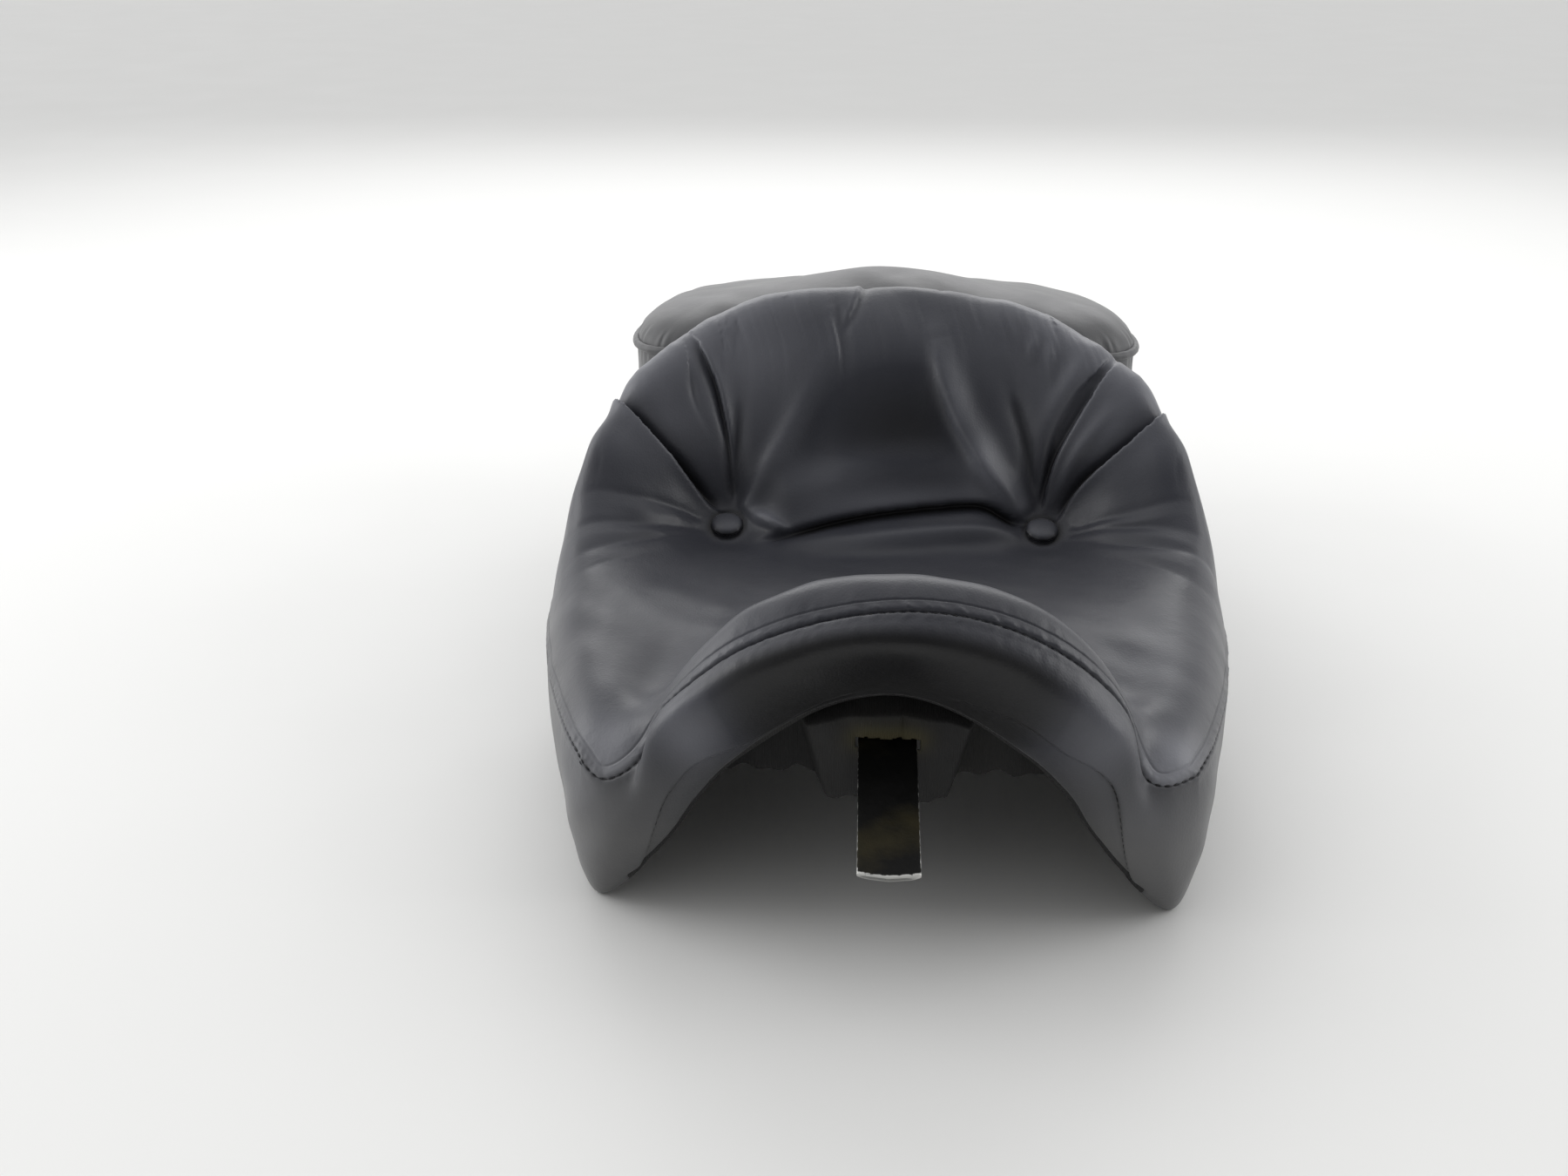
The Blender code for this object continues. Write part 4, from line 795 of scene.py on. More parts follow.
seam_k = np.concatenate([-SIDE - panel_v[:0:-1, 0], panel_u[0], SIDE + panel_v[1:, -1]])
below_seam = skirt_skin(seam_k, np.full_like(seam_k, probe))
skirt_speed = np.linalg.norm(below_seam - seam_point(seam_k), axis=-1) / probe
close_rows = FROM_SEAM[:, None] / skirt_speed
face_rows = close_rows[-1] + (EDGE_ROW - close_rows[-1]) * np.linspace(0, 1, 34)[1:, None]
hem_steps = np.concatenate([np.linspace(EDGE_ROW, 4.4, 22)[1:], np.linspace(4.4, HEM_ROW, 16)[1:]])
hem_rows = np.broadcast_to(hem_steps[:, None], (len(hem_steps), len(seam_k)))
skirt_s = np.concatenate([close_rows, face_rows, hem_rows])
skirt_k = np.broadcast_to(seam_k, skirt_s.shape).copy()
skirt = skirt_skin(skirt_k, skirt_s)
skirt_out = -facing(skirt)


def run_along(line):
    """Distance from the first point of a line to each of its points."""
    return np.concatenate([[0], np.cumsum(np.linalg.norm(np.diff(line, axis=0), axis=-1))])


# The seam's own line, and the direction that both panels share along it
seam_line = seam_point(seam_k)
top_side = np.concatenate([rider_out[:0:-1, 0], rider_out[0], rider_out[1:, -1]])
seam_out = unit(top_side + skirt_out[0])
seam_run = run_along(seam_line)
SEAM_REACH = 16.0


def from_seam(points):
    """Distance of each point to the seam, and the place on the seam that is nearest."""
    flat = points.reshape(-1, 3)
    far = np.full(len(flat), 99.0)
    place = np.zeros(len(flat), int)
    for part in np.array_split(np.arange(len(flat)), 40):
        gap = np.linalg.norm(flat[part][:, None, :] - seam_line[None], axis=-1)
        place[part] = np.argmin(gap, 1)
        far[part] = gap[np.arange(len(part)), place[part]]
    return far.reshape(points.shape[:-1]), place.reshape(points.shape[:-1])


def sew(points, base, out, roll):
    """Draws a panel in at the seam: a join groove -exp(-(t/0.8)^2), a low roll, a thin groove and puckers."""
    t, place = from_seam(base)
    run = seam_run[place]
    gathered = 0.3 + 0.7 * np.exp(-(seam_line[place][..., 0] / 122) ** 8)
    strength = gathered * (0.6 + 0.4 * np.sin(run / 83.0 + 0.6) ** 2)
    join = -(1.4 + 0.6 * np.sin(2 * np.pi * run / 5.2)) * np.exp(-(t / 0.8) ** 2)
    gather = 1.0 + 0.8 * strength * ripple(run + 0.7 * t, 5.2, 8.9, 13.7)
    full = roll * gather * np.exp(-((t - 2.6) / 2.2) ** 2)
    groove = -0.55 * np.exp(-((t - 6.8) / 0.45) ** 2) * (roll > 0.5)
    pucker = 0.16 * strength * ripple(run + 3.0, 9.7, 6.7, 17.3) * np.exp(-((t - 9.0) / 3.5) ** 2)
    turn = np.clip(t / 9.0, 0, 1)[..., None]
    direction = unit(seam_out[place] * (1 - turn) + out * turn)
    near = t < SEAM_REACH
    return points + ((join + full + groove + pucker) * near)[..., None] * direction


rider = sew(rider, foam, rider_out, 0.55)
skirt_base = skirt.copy()
# Inner seam of the nose, where a facing panel turns into the arch on each side
FACING_SEAMS = {
    -1: [(-0.6, 2.6), (-1.0, 2.66), (-1.5, 2.72), (-2.0, 2.7), (-2.4, 2.6), (-2.7, 2.4), (-3.0, 2.2),
         (-3.4, 2.12), (-3.85, 2.1), (-4.4, 2.0), (-4.85, 2.1), (-5.1, 2.45), (-5.3, 3.0)],
    1: [(1.0, 2.3), (1.4, 2.13), (2.0, 1.98), (2.45, 2.04), (2.76, 2.04), (3.13, 1.9), (3.6, 1.8),
        (4.0, 1.75), (4.5, 1.8), (4.85, 2.0), (5.1, 2.4), (5.3, 3.0)],
}
FACING_INNER = (-1.6, 7)
FACING_OUTER = (1.4, 4)
FACING_GROOVE = (-1.9, 1.0)
facing_lines = []
stitched_in = np.zeros(skirt.shape[:2])
for side in (-1, 1):
    path, ahead, up = along_path(skirt_skin, FACING_SEAMS[side], 110)
    line = (path, ahead, -up)
    facing_lines.append(line)
    sides = (FACING_INNER, FACING_OUTER) if side < 0 else (FACING_OUTER, FACING_INNER)
    add_fold(skirt, skirt_out, line, (0.4, 1, 1, 1, 0.7), *sides, edge=0.5, pinch=1)
    stitched_in += add_fold(skirt, skirt_out, line, (0.6, 1, 1, 1, 0.8), FACING_GROOVE, FACING_GROOVE,
                            pinch=1, draw=0)
uneven = 0.4 * ripple(skirt[..., 2] + 0.3 * skirt[..., 1], 57, 35) * ripple(skirt_k * 22, 90, 52)
settled = np.clip(skirt_s / 0.6, 0, 1) * np.clip((4 - skirt_s) / 0.8, 0, 1)
skirt = skirt + (uneven * settled)[..., None] * skirt_out
skirt = sew(skirt, skirt_base, skirt_out, 0.3)
skirt[..., 2] = np.maximum(skirt[..., 2], GROUND[2] + 0.1)

# The panel behind the bolster runs down from the crease to the pan, out of sight in front of the pillion
crease = rider[-1]
BACK_FOOT = 397.0
BACK_HALF = 159.0
foot_x = np.clip(crease[:, 0] * 0.9, -BACK_HALF, BACK_HALF)
foot_y = np.full_like(foot_x, BACK_FOOT)
foot = np.stack([foot_x, foot_y, pan_height(foot_x, foot_y) + 1.0], -1)
knee = np.stack([crease[:, 0] * 0.985, crease[:, 1] + 2.5, foot[:, 2] + 12], -1)
down = np.linspace(0, 1, 19)[1:, None, None]
back_panel = (1 - down) ** 2 * crease + 2 * down * (1 - down) * knee + down ** 2 * foot
rider_all = np.concatenate([rider, back_panel])
# Spots where use has hazed the vinyl with a painted sheen (above 0) and where painted shade darkens it (below
# 0): u, v, reach in each, amount
SEAT_HAZE_AND_LIGHT = [(0, 8.3, 9, 1.5, 0.5), (0.25, 7.6, 1.2, 0.75, -1.1), (0, 6.75, 1.2, 0.22, 0.65),
             (-2.05, 8.57, 0.6, 0.6, 0.5), (-3.6, 7.4, 0.8, 0.6, 0.3), (3.5, 7.6, 0.9, 0.6, 0.3),
             (0, 4.4, 3.2, 1.2, -0.25), (-2.1, 0.2, 0.9, 0.5, 0.3), (-5.8, 0.5, 0.9, 0.7, 1.4),
             (5.8, 0.4, 0.9, 0.7, 2.2), (4.4, 2.6, 1.2, 1.2, 0.2), (0.95, 7.7, 0.2, 0.4, 0.5),
             (1.35, 7.1, 0.25, 0.3, 0.7), (-4.8, 5.6, 0.9, 0.9, 0.15), (5.2, 5.5, 0.9, 0.9, 0.15),
             (-1.72, 6.44, 0.25, 0.16, 0.7)]


def spot_field(first, second, spots):
    """A sum of soft round spots, each amount exp(-(a/reach)^2 - (b/reach)^2), over two parameters."""
    total = np.zeros(np.shape(first))
    for a, b, reach_a, reach_b, amount in spots:
        total += amount * np.exp(-((first - a) / reach_a) ** 2 - ((second - b) / reach_b) ** 2)
    return total


seat_haze_and_light = spot_field(panel_u, panel_v, SEAT_HAZE_AND_LIGHT)
# Raised folds are painted lighter as highlight and rubbed wear; deep creases and a ring round each button's
# hollow are painted dark as shade
seat_haze_and_light += 0.45 * np.clip((pressed - 1) / 5, 0, 1) - 1.6 * np.clip((-pressed - 2.5) / 6, 0, 1)
seat_haze_and_light -= np.exp(-((to_button - TUFT_FLAT) / 1.5) ** 2)
seat_haze_and_light = np.concatenate([seat_haze_and_light, np.zeros(back_panel.shape[:2])])

vinyl = new_finish("black_vinyl", (0.038, 0.04, 0.05), 0.42)
vinyl_nodes, vinyl_links = vinyl.node_tree.nodes, vinyl.node_tree.links
grain_place = vinyl_nodes.new("ShaderNodeTexCoord")
pebble = vinyl_nodes.new("ShaderNodeTexVoronoi")
pebble.feature = "SMOOTH_F1"
pebble.inputs["Scale"].default_value = 760
pebble.inputs["Smoothness"].default_value = 0.4
vinyl_links.new(grain_place.outputs["Object"], pebble.inputs["Vector"])
grain = relief(vinyl, pebble.outputs["Distance"], 0.00006)
shader_input(vinyl, "Normal", relief(vinyl, mottle(vinyl, 130, 0, 1, 4), 0.00008, grain))


def axis_parts(owner, coordinates):
    """The parts along X, Y and Z of a finish's or a world's own coordinates."""
    nodes = owner.node_tree.nodes
    place = nodes.new("ShaderNodeTexCoord")
    parts = nodes.new("ShaderNodeSeparateXYZ")
    owner.node_tree.links.new(place.outputs[coordinates], parts.inputs["Vector"])
    return parts.outputs


# Dust, with a painted sheen over it, lies on the ears and lower sides and all over the pillion, and dulls the
# vinyl to a neutral grey
vinyl_axes = axis_parts(vinyl, "Object")
low_dust_and_sheen = spread_over(vinyl, vinyl_axes["Z"], 0.11, 0.05, 0, 0.75)
rear_dust_and_sheen = spread_over(vinyl, vinyl_axes["Y"], 0.066, 0.08, 0, 0.5)
dust_and_sheen_level = worked_out(vinyl, "MAXIMUM", low_dust_and_sheen, rear_dust_and_sheen)
dust_and_sheen_share = worked_out(vinyl, "MULTIPLY", dust_and_sheen_level, mottle(vinyl, 16, 0.8, 1.1, 5))
tint = tinted(vinyl, mottle(vinyl, 7, 0, 1, 3), (0.034, 0.036, 0.046), (0.044, 0.045, 0.054))
# Point values above 0 paint a pale blue-grey haze and sheen on the vinyl; below 0 they paint near-black shade
wear_and_painted_light = marked(vinyl, "wear_and_painted_light")
haze_and_sheen = tinted(vinyl, spread_over(vinyl, wear_and_painted_light, 0, 2), tint, (0.24, 0.246, 0.278))
painted_shade = tinted(vinyl, spread_over(vinyl, wear_and_painted_light, 0, -1), haze_and_sheen, (0.01, 0.01, 0.011))
shader_input(vinyl, "Base Color", tinted(vinyl, dust_and_sheen_share, painted_shade, (0.15, 0.15, 0.148)))
dulled = spread_over(vinyl, dust_and_sheen_share, 0, 0.8, 0, 0.12)
shader_input(vinyl, "Roughness", worked_out(vinyl, "ADD", dulled, mottle(vinyl, 24, 0.33, 0.45, 5)))
for socket, level in (("IOR", 1.4), ("Sheen Weight", 0.12), ("Sheen Roughness", 0.35)):
    vinyl_nodes["Principled BSDF"].inputs[socket].default_value = level

seat = add_piece("rider_seat_cushion", rider_all, grid_faces(rider_all), vinyl, "vinyl")
mark(seat, "wear_and_painted_light", seat_haze_and_light)
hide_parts("rider_top_cover", "rider_foam")

# The skirt's rear corners turn in against the pan, and its hem has a cut edge
corner_steps = np.array([(1.5, 1.2), (4.5, 2.6), (8.5, 3.2), (12.0, 3.2)])
left_turn = np.stack([skirt[:, 0] + np.array([step, back, 0]) for step, back in corner_steps[::-1]], 1)
right_turn = np.stack([skirt[:, -1] + np.array([-step, back, 0]) for step, back in corner_steps], 1)
skirt_all = np.concatenate([left_turn, skirt, right_turn], 1)
turned_k = len(corner_steps)
extra = ((0, 0), (turned_k, turned_k))
all_k = np.pad(skirt_k, extra, constant_values=((0, 0), (-LAST, LAST)))
all_s = np.pad(skirt_s, extra, mode="edge")
faces = quads(*skirt_all.shape[:2], flip=True)
in_arch = np.abs(all_k[:-1]) < LINING_REACH
is_lining = (all_s[:-1, :-1] >= EDGE_ROW - 0.001) & in_arch[:, :-1] & in_arch[:, 1:]


def used_only(points, faces):
    """Points that some face uses, with the faces renumbered to them."""
    used, numbers = np.unique(faces.reshape(-1), return_inverse=True)
    return points.reshape(-1, 3)[used], numbers.reshape(-1, 4).tolist()


skirt_points, skirt_faces = used_only(skirt_all, faces[~is_lining])
skirt_piece = add_piece("rider_skirt", skirt_points, skirt_faces, vinyl, "vinyl")
# The nose's ends are painted lighter where side light falls on them, and the ears lighter with dust and
# painted light
SKIRT_HAZE_AND_LIGHT = [(-3.0, 1.5, 0.6, 0.9, 0.9), (3.2, 1.3, 0.7, 0.9, 0.7), (-7.2, 1, 1.2, 1.5, 0.5),
              (5.6, 1.4, 1, 1.2, 0.7)]
# The nose's front face below the seam is painted darker as shade
shaded = np.clip((all_s - 0.35) / 0.4, 0, 1) * np.exp(-(all_k / 2.3) ** 12)
skirt_haze_and_light = spot_field(all_k, all_s, SKIRT_HAZE_AND_LIGHT) - shaded
skirt_haze_and_light[:, turned_k:-turned_k] += 0.9 * stitched_in
mark(skirt_piece, "wear_and_painted_light", skirt_haze_and_light.reshape(-1)[np.unique(faces[~is_lining])])
thicken(skirt_piece, "vinyl_thickness", VINYL_THICKNESS)
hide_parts("nose_cover", "left_side_cover", "right_side_cover")

# Nose lining: dull black cloth that runs from the arch's edge back to the front of the pan.
# It is sewn to the skirt along the arch and tucked up over the pan's lip.
lining = new_finish("dull_lining", (0.03, 0.03, 0.03), 0.85)
weave_place = lining.node_tree.nodes.new("ShaderNodeTexCoord")
weave = lining.node_tree.nodes.new("ShaderNodeTexWave")
weave.inputs["Scale"].default_value = 260
weave.inputs["Distortion"].default_value = 1.2
lining.node_tree.links.new(weave_place.outputs["Object"], weave.inputs["Vector"])
threads = relief(lining, weave.outputs["Fac"], 0.00012)
shader_input(lining, "Normal", relief(lining, mottle(lining, 60, 0, 1, 5), 0.0006, threads))
cloth_colour = tinted(lining, mottle(lining, 14, 0, 1, 5), (0.014, 0.014, 0.015), (0.03, 0.03, 0.029))
stained = tinted(lining, marked(lining, "grime"), cloth_colour, (0.075, 0.066, 0.03))
shader_input(lining, "Base Color", stained)
lining_points, lining_faces = used_only(skirt_all, faces[is_lining])
lining_piece = add_piece("arch_lining", lining_points, lining_faces, lining, "lining")
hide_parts("nose_lining")

# Behind the arch the cloth drops over the pan's edge and boss to a loose hem, slotted for the tongue
APRON_HEM = 61.3
BOSS_FRONT = 26.0
APRON_BACK = 55.0
SLOT_LEVEL = 96.5
SLOT_HALF = 17.0
SLOT_HEIGHT = 6.4
CLOTH_THICKNESS = 1.0
lining_end = skirt_all[-1, np.abs(all_k[0]) < LINING_REACH]
fall = np.linspace(0, 1, 64)[:, None]
hem_level = np.minimum(APRON_HEM + 1.6 + 1.6 * ripple(lining_end[:, 0], 31, 17), lining_end[:, 2] - 1)
hem_level = np.maximum(hem_level, np.minimum(APRON_HEM, lining_end[:, 2] - 1))
apron_z = lining_end[:, 2] * (1 - fall) + hem_level * fall
apron_x = lining_end[:, 0] * (1 - 0.05 * fall)
boss_half = 30 + (apron_z - 60) * 0.26
beside = np.clip((np.abs(apron_x) - boss_half) / 10, 0, 1)
wall_y = BOSS_FRONT + (APRON_BACK - BOSS_FRONT) * beside ** 2 * (3 - 2 * beside)
wall_y = wall_y + 0.7 * ripple(apron_x + 0.5 * apron_z, 29, 47)
slit = np.exp(-((apron_x - 7 - 0.12 * (apron_z - 104)) / 1.1) ** 2) * np.clip((apron_z - 95) / 4, 0, 1)
wall_y = wall_y + 2.2 * slit
over_edge = np.clip(fall / 0.1, 0, 1)
apron = np.stack([apron_x, lining_end[:, 1] * (1 - over_edge) + wall_y * over_edge, apron_z], -1)
apron_faces = quads(*apron.shape[:2], flip=True)
middle = (apron[:-1, :-1] + apron[1:, 1:]) / 2
slot = (np.abs(middle[..., 0]) < SLOT_HALF) & (np.abs(middle[..., 2] - SLOT_LEVEL) < SLOT_HEIGHT / 2)
apron_points, apron_quads = used_only(apron, apron_faces[~slot])
apron_piece = add_piece("lining_apron", apron_points, apron_quads, lining, "lining")
stain = np.exp(-(apron_points[:, 0] / 21) ** 4 - ((apron_points[:, 2] - SLOT_LEVEL - 3) / 8) ** 2)
mark(apron_piece, "grime", stain)
for cloth_piece in (lining_piece, apron_piece):
    thicken(cloth_piece, "cloth_thickness", CLOTH_THICKNESS)

# Seam thread: short lock stitches of black bonded thread along the join, sunk between its puckers.
# The same thread closes the facing seams inside the arch.
STITCH = 4.6
STITCH_LENGTH = 3.5
THREAD_RADIUS = 0.38


def stitches(line, out):
    """Small capsules along a line: five six-sided rings a stitch, narrow and sunk at its two ends."""
    run = run_along(line)
    middles = np.arange(STITCH, run[-1] - STITCH, STITCH)
    at = middles[:, None] + np.array([-0.5, -0.36, 0, 0.36, 0.5]) * STITCH_LENGTH
    centre = np.stack([np.interp(at, run, line[:, axis]) for axis in range(3)], -1)
    up = unit(np.stack([np.interp(at, run, out[:, axis]) for axis in range(3)], -1))
    ahead = unit(np.gradient(centre, axis=1))
    aside = unit(np.cross(ahead, up))
    sink = np.array([-0.5, -0.1, 0.12, -0.1, -0.5])[:, None]
    radius = THREAD_RADIUS * np.array([0.35, 0.95, 1, 0.95, 0.35])[:, None, None]
    turn = np.linspace(0, 2 * np.pi, 6, endpoint=False)[:, None]
    ring = np.cos(turn) * aside[..., None, :] + np.sin(turn) * unit(np.cross(aside, ahead))[..., None, :]
    points = (centre + sink * up)[..., None, :] + radius * ring
    firsts = np.arange(len(middles)) * 30
    faces = (quads(5, 6, around=True).reshape(-1, 4) + firsts[:, None, None]).reshape(-1, 4).tolist()
    both_ends = (range(5, -1, -1), range(24, 30))
    caps = [[first + k for k in end] for first in firsts.tolist() for end in both_ends]
    return points.reshape(-1, 3), faces + caps


thread = new_finish("bonded_thread", (0.02, 0.02, 0.021), 0.6)
fibre = tinted(thread, mottle(thread, 900, 0, 1), (0.014, 0.014, 0.015), (0.034, 0.034, 0.036))
shader_input(thread, "Base Color", fibre)
join_line = seam_line - 1.15 * seam_out
add_piece("seam_stitches", *stitches(join_line, seam_out), thread, "vinyl")
for name, (path, ahead, up) in zip(("left_facing_stitches", "right_facing_stitches"), facing_lines):
    add_piece(name, *stitches(path - 1.0 * up, up), thread, "vinyl")

# Tufting buttons: 22 mm moulds covered in the same vinyl, which draw the seat in.
# Waxed twine runs from each one through foam and pan to a steel toggle.
BUTTON_SEAT = 0.6
BUTTON_STEPS = 72
BUTTON_PLEATS = 11
BUTTON_AXIS = np.array([0.0, -np.sin(np.radians(18)), np.cos(np.radians(18))])
BUTTON_PROFILE = np.array([(0.3, 3.9), (2.5, 3.85), (4.8, 3.65), (6.8, 3.25), (8.2, 2.75), (9.3, 2.15),
                           (10.1, 1.5), (10.6, 1.0), (10.9, 0.5), (11, 0), (10.8, -0.6), (10.4, -1.2),
                           (9.4, -1.7), (8, -2.0), (0.3, -2.0)])
for side, centre in zip(("left", "right"), TUFTS):
    place = centre + TUFT_AXIS * (BUTTON_SEAT - TUFT_DEPTH)
    dome = turned(BUTTON_PROFILE, place, BUTTON_AXIS, BUTTON_STEPS)
    pleat = 0.14 * np.sin(np.arange(BUTTON_STEPS) * 2 * np.pi * BUTTON_PLEATS / BUTTON_STEPS)[None, :, None]
    rim = np.exp(-((BUTTON_PROFILE[:, 1] - 0.4) / 1.4) ** 2)[:, None, None]
    dome = dome + pleat * rim * unit(dome - place)
    button = add_piece(side + "_covered_button", dome, capped(dome.shape, flip=True), vinyl, "vinyl")
    # Painted shade round the button's lower rim and a painted sheen on its top
    painted_rim_shade_and_top_sheen = np.broadcast_to(np.interp(BUTTON_PROFILE[:, 1:], (0.5, 2.5), (-0.8, 0.45)), dome.shape[:2])
    mark(button, "wear_and_painted_light", painted_rim_shade_and_top_sheen)
    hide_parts(side + "_button")
twine = new_finish("waxed_twine", (0.36, 0.3, 0.2), 0.75)
hemp = tinted(twine, mottle(twine, 700, 0, 1), (0.3, 0.24, 0.15), (0.42, 0.36, 0.25))
shader_input(twine, "Base Color", hemp)
shader_input(twine, "Normal", relief(twine, mottle(twine, 900, 0, 1, 2, (1, 1, 0.3)), 0.0002))
refinish(("left_button_twine", "right_button_twine"), twine)

# Pillion seat: a second foam pad behind the rider's, with a crowned top, a side band and a corded welt.
# The three are sewn together in the same vinyl, and the band is turned under and stapled.
PILLION_WELT = [(0, 396, 205), (70, 396, 204), (135, 398, 202), (172, 408, 200), (187, 440, 198),
                (189, 500, 193), (182, 570, 184), (163, 635, 172), (120, 680, 162), (60, 694, 158),
                (0, 697, 157)]
PILLION_HEM = [(0, 398, 121), (70, 398, 121), (133, 400, 118), (168, 411, 113), (182, 441, 106),
               (184, 500, 105), (177, 568, 99), (158, 631, 93), (116, 674, 91), (58, 688, 91),
               (0, 691, 91)]
PILLION_MIDDLE = np.array([0.0, 535.0])
PILLION_TURNS = 20.0
PILLION_CROWN = 40.0
PILLION_CREST = 17.0
CREST_PLACE = np.array([0.0, 470.0])
CREST_SPREAD = np.array([75.0, 90.0])
BAND_HEM = [(3, -7), (14, -4)]


def pillion_ring(half, turn):
    """A smooth closed ring through a half outline and its mirror image, from the front centre round."""
    half = np.array(half, float)
    ring = np.vstack([half, half[-2:0:-1] * [-1, 1, 1]])
    return spline(np.vstack([ring[-2:], ring, ring[:3]]), 2 + turn)


def pillion_skin(share, turn):
    """The crowned top: rings drawn towards the middle, swelling by crown times sqrt(1 - share^4)."""
    welt = pillion_ring(PILLION_WELT, turn)
    (_, front, front_level), (_, tail, tail_level) = PILLION_WELT[0], PILLION_WELT[-1]
    slope = (tail_level - front_level) / (tail - front)
    sewn = welt[..., 2] - front_level - slope * (welt[..., 1] - front)
    plan = PILLION_MIDDLE + share[..., None] * (welt[..., :2] - PILLION_MIDDLE)
    level = front_level + slope * (plan[..., 1] - front) + sewn * share ** 4
    crest = np.exp(-np.sum(((plan - CREST_PLACE) / CREST_SPREAD) ** 2, axis=-1))
    round_off = np.clip(1 - share ** 4, 0, 1)
    swell = PILLION_CROWN * np.sqrt(round_off) + PILLION_CREST * crest * round_off
    return np.concatenate([plan, (level + swell)[..., None]], -1)


def facing_round(points):
    """Outward direction on a grid whose last column meets its first."""
    return -facing(np.concatenate([points[:, -2:], points, points[:, :2]], 1))[:, 2:-2]


ROUND = 420
pillion_turn = np.linspace(0, PILLION_TURNS, ROUND, endpoint=False)
FROM_WELT = np.array([0.085, 0.07, 0.057, 0.045, 0.035, 0.027, 0.02, 0.0145, 0.01, 0.006, 0.0025, 0.0])
shares = np.concatenate([np.linspace(0.006, 0.9, 70), 1 - FROM_WELT])
share_grid, turn_grid = np.meshgrid(shares, pillion_turn, indexing="ij")
cushion = pillion_skin(share_grid, turn_grid)
cushion_out = facing_round(cushion)
PILLION_FOLDS = [
    ([(0.99, 1.2), (0.9, 1.5), (0.78, 2.0)], (1, 0.8, 0.1), (-1.0, 8), (0.6, 8)),
    ([(0.99, 2.9), (0.88, 2.95), (0.74, 3.0)], (1, 0.8, 0.1), (-1.2, 8), (-1.2, 8)),
    ([(0.99, 18.9), (0.9, 18.6), (0.76, 18.2)], (1, 0.8, 0.1), (0.6, 8), (-1.0, 8)),
    ([(0.99, 17.1), (0.88, 17.05), (0.72, 16.9)], (1, 0.8, 0.1), (-1.2, 8), (-1.2, 8)),
    ([(0.99, 7.4), (0.9, 7.35), (0.8, 7.2)], (1, 0.8, 0.1), (-1.2, 8), (-1.2, 8)),
    ([(0.99, 12.6), (0.9, 12.65), (0.8, 12.8)], (1, 0.8, 0.1), (-1.2, 8), (-1.2, 8)),
]
for path, strength, left, right in PILLION_FOLDS:
    points, ahead, up = along_path(pillion_skin, path)
    add_fold(cushion, cushion_out, (points, ahead, -up), strength, left, right, pinch=1.6)
welt_ring = pillion_ring(PILLION_WELT, pillion_turn)
welt_run = run_along(welt_ring)
edge_gap = np.linalg.norm(cushion - welt_ring, axis=-1)
pucker = 0.4 * ripple(welt_run, 12.1, 8.3, 21.0) * np.exp(-((edge_gap - 8) / 6) ** 2)
soft = 0.5 * ripple(cushion[..., 0] + 0.4 * cushion[..., 1], 71, 43) * ripple(cushion[..., 1], 95, 57)
cushion = cushion + (pucker + soft * np.clip(edge_gap / 20, 0, 1))[..., None] * cushion_out
cushion_faces = grid_faces(cushion, around=True, flip=True) + [list(range(ROUND))]
pad = add_piece("pillion_cushion", cushion, cushion_faces, vinyl, "vinyl")
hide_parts("pillion_top_cover", "pillion_foam")

hem_ring = pillion_ring(PILLION_HEM, pillion_turn)
to_middle = unit(np.concatenate([PILLION_MIDDLE - hem_ring[:, :2], np.zeros((ROUND, 1))], 1))
band_net = np.array([welt_ring, (welt_ring + hem_ring) / 2 - 5.0 * to_middle, hem_ring]
                    + [hem_ring + to_middle * step + np.array([0, 0, rise]) for step, rise in BAND_HEM])
band_down = np.concatenate([np.linspace(0, 0.2, 10)[:-1], np.linspace(0.2, 2, 36)[:-1],
                            np.linspace(2, 4, 24)])
band = spline(band_net, band_down)
band_out = facing_round(band)
band_gap = np.linalg.norm(band - welt_ring, axis=-1)
band_soft = 0.45 * ripple(welt_run, 63, 41) * ripple(band[..., 2], 77) * np.clip(band_gap / 15, 0, 1)
band_pucker = 0.35 * ripple(welt_run + 5, 10.7, 7.9, 19.0) * np.exp(-((band_gap - 7) / 6) ** 2)
above_hem = np.clip((2.4 - band_down) / 0.6, 0, 1)[:, None]
band = band + ((band_soft + band_pucker) * above_hem)[..., None] * band_out
band_faces = grid_faces(band, around=True, flip=True)
band_piece = add_piece("pillion_side_band", band, band_faces, vinyl, "vinyl")
thicken(band_piece, "vinyl_thickness", VINYL_THICKNESS)
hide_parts("pillion_band_cover")

WELT_RADIUS = 3.0
WELT_STEPS = 20
outward = unit(np.concatenate([welt_ring[:, :2] - PILLION_MIDDLE, np.zeros((ROUND, 1))], 1))
ahead = unit(np.roll(welt_ring, -1, 0) - np.roll(welt_ring, 1, 0))
upward = unit(np.cross(outward, ahead))
cord_turn = np.linspace(0, 2 * np.pi, WELT_STEPS, endpoint=False)[:, None, None]
cord_radius = WELT_RADIUS * (1 + 0.03 * ripple(welt_run, 9.1, 13.3))[:, None]
cord_ring = np.cos(cord_turn) * outward + np.sin(cord_turn) * upward
cord = (welt_ring + 1.5 * outward) + cord_radius * cord_ring
cord = cord.transpose(1, 0, 2)
cord_faces = quads(ROUND + 1, WELT_STEPS, around=True) % (ROUND * WELT_STEPS)
welt_piece = add_piece("pillion_corded_welt", cord, cord_faces.reshape(-1, 4).tolist(), vinyl, "vinyl")
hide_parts("pillion_welt")

# Hem staples: short steel staples, five on each side, that hold the turned-under skirt to the pan.
# They show as they were loaded, in the same dull zinc as the tail tab.
STAPLES = 5
for side in ("left", "right"):
    refinish(["%s_staple_%d" % (side, number) for number in range(1, STAPLES + 1)], zinc)

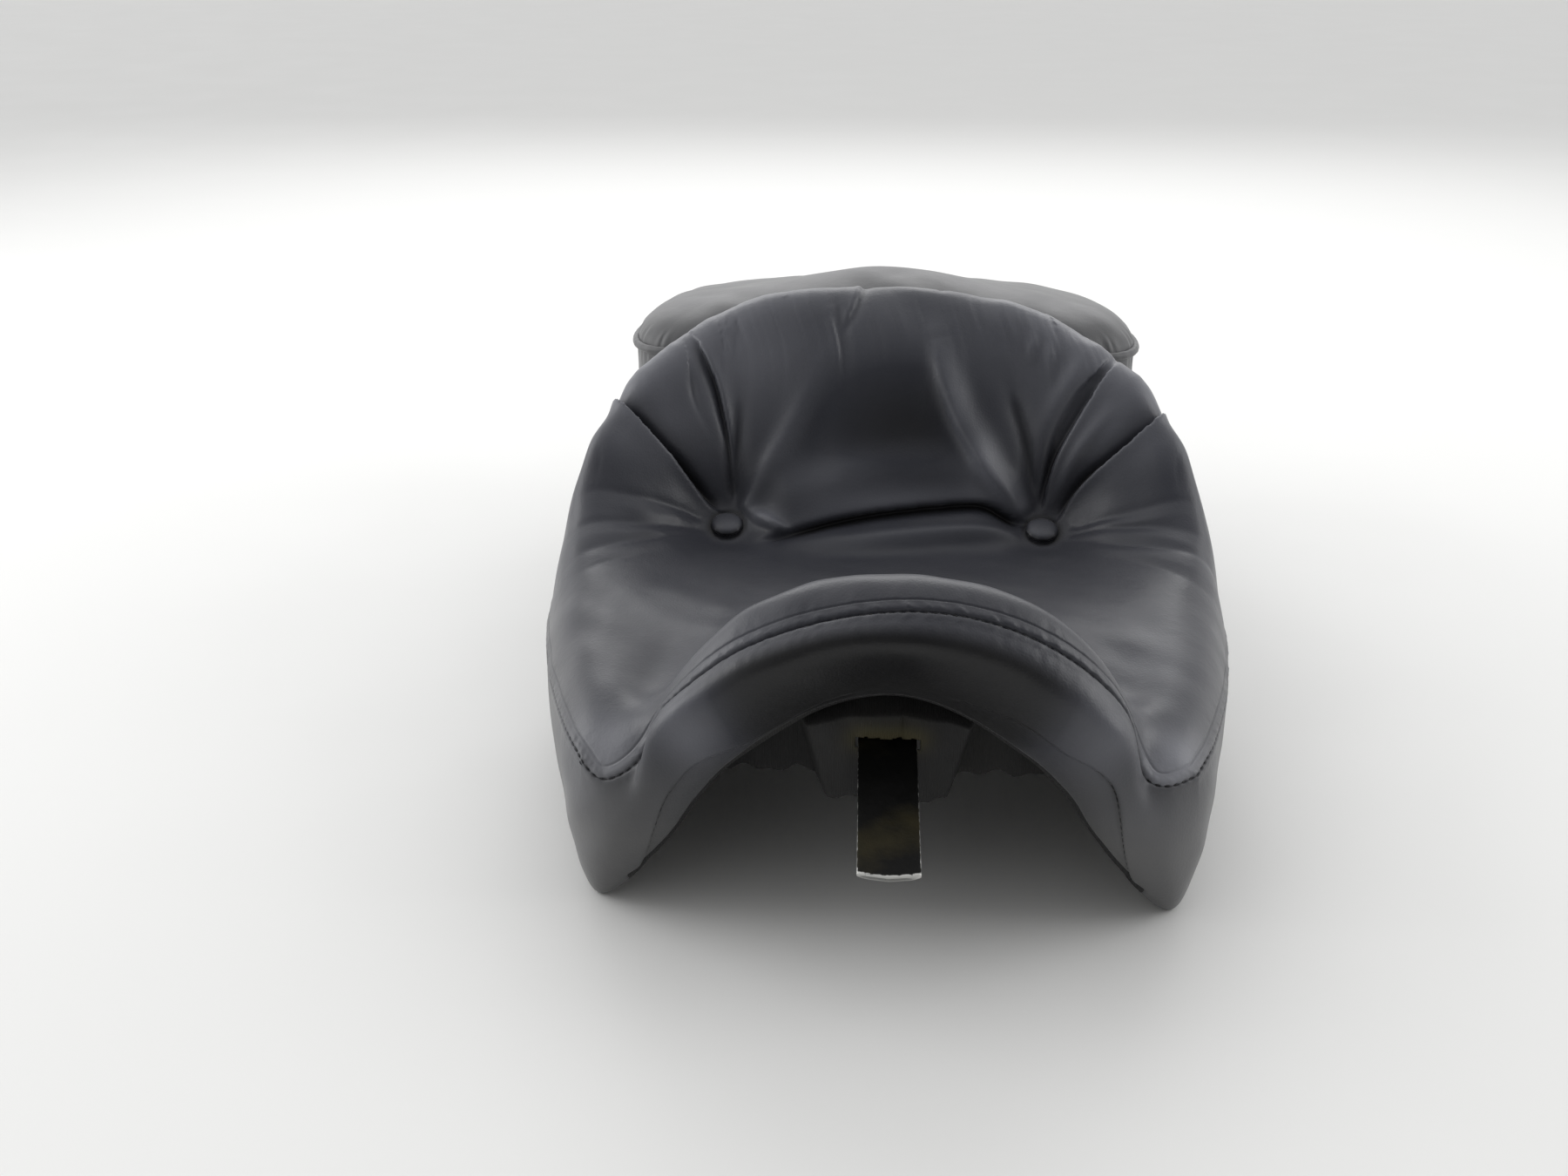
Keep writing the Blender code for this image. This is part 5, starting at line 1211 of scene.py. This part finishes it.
# Studio: a plain pale floor under a broad soft light from above and behind, with a weaker one on each side.
# The walls are white at the back and sides and fall to dark behind the camera.
floor_finish = new_finish("pale_floor", (0.8, 0.8, 0.79), 0.6)
shader_input(floor_finish, "Roughness", mottle(floor_finish, 5, 0.55, 0.7))
floor_mesh = bpy.data.meshes.new("pale_floor")
floor_mesh.from_pydata([(-14, -8, 0), (14, -8, 0), (14, 20, 0), (-14, 20, 0)], [], [(0, 1, 2, 3)])
floor_mesh.materials.append(floor_finish)
floor = bpy.data.objects.new("pale_floor", floor_mesh)
bpy.context.scene.collection.objects.link(floor)


def soft_light(name, place, aim, width, height, power):
    """A rectangular soft lamp that faces a point."""
    lamp = bpy.data.lights.new(name, "AREA")
    lamp.shape = "RECTANGLE"
    lamp.size = width
    lamp.size_y = height
    lamp.energy = power
    made = bpy.data.objects.new(name, lamp)
    made.location = place
    made.rotation_euler = (Vector(aim) - Vector(place)).to_track_quat("-Z", "Y").to_euler()
    bpy.context.scene.collection.objects.link(made)


soft_light("back_window", (0, 1.9, 1.5), (0, 0, 0.12), 2.6, 1.4, 21)
soft_light("left_window", (-2.0, 0.15, 0.8), (0, 0, 0.12), 1.4, 1.4, 16)
soft_light("right_window", (2.0, 0.05, 0.95), (0, 0, 0.12), 1.4, 1.4, 13)
world = bpy.data.worlds.new("white_room")
world.use_nodes = True
room = world.node_tree.nodes["Background"]
axes = axis_parts(world, "Generated")
left_wall = spread_over(world, axes["X"], 0.2, -0.7, 0, 0.54, "SMOOTHSTEP")
right_wall = spread_over(world, axes["X"], -0.2, 0.7, 0, 0.31, "SMOOTHSTEP")
back_wall = spread_over(world, axes["Y"], -0.6, 0.25, 0, 0.75, "SMOOTHSTEP")
all_walls = worked_out(world, "ADD", worked_out(world, "ADD", left_wall, right_wall), back_wall)
world.node_tree.links.new(all_walls, room.inputs["Strength"])
room.inputs["Color"].default_value = (1, 1, 1, 1)
bpy.context.scene.world = world
bpy.context.scene.view_settings.view_transform = "Standard"

# Camera: a plain 35 mm view from in front and above, as the seat was photographed.
# It stands about a metre from the seat's middle and half a metre up.
lens = bpy.data.cameras.new("front_view")
lens.lens = 35.0
lens.sensor_width = 36.0
lens.sensor_fit = "HORIZONTAL"
view = bpy.data.objects.new("front_view", lens)
view.location = (-0.0205, -0.99595, 0.5056)
view.rotation_euler = np.radians((65.56, 0, 2.8))
bpy.context.scene.collection.objects.link(view)
bpy.context.scene.camera = view
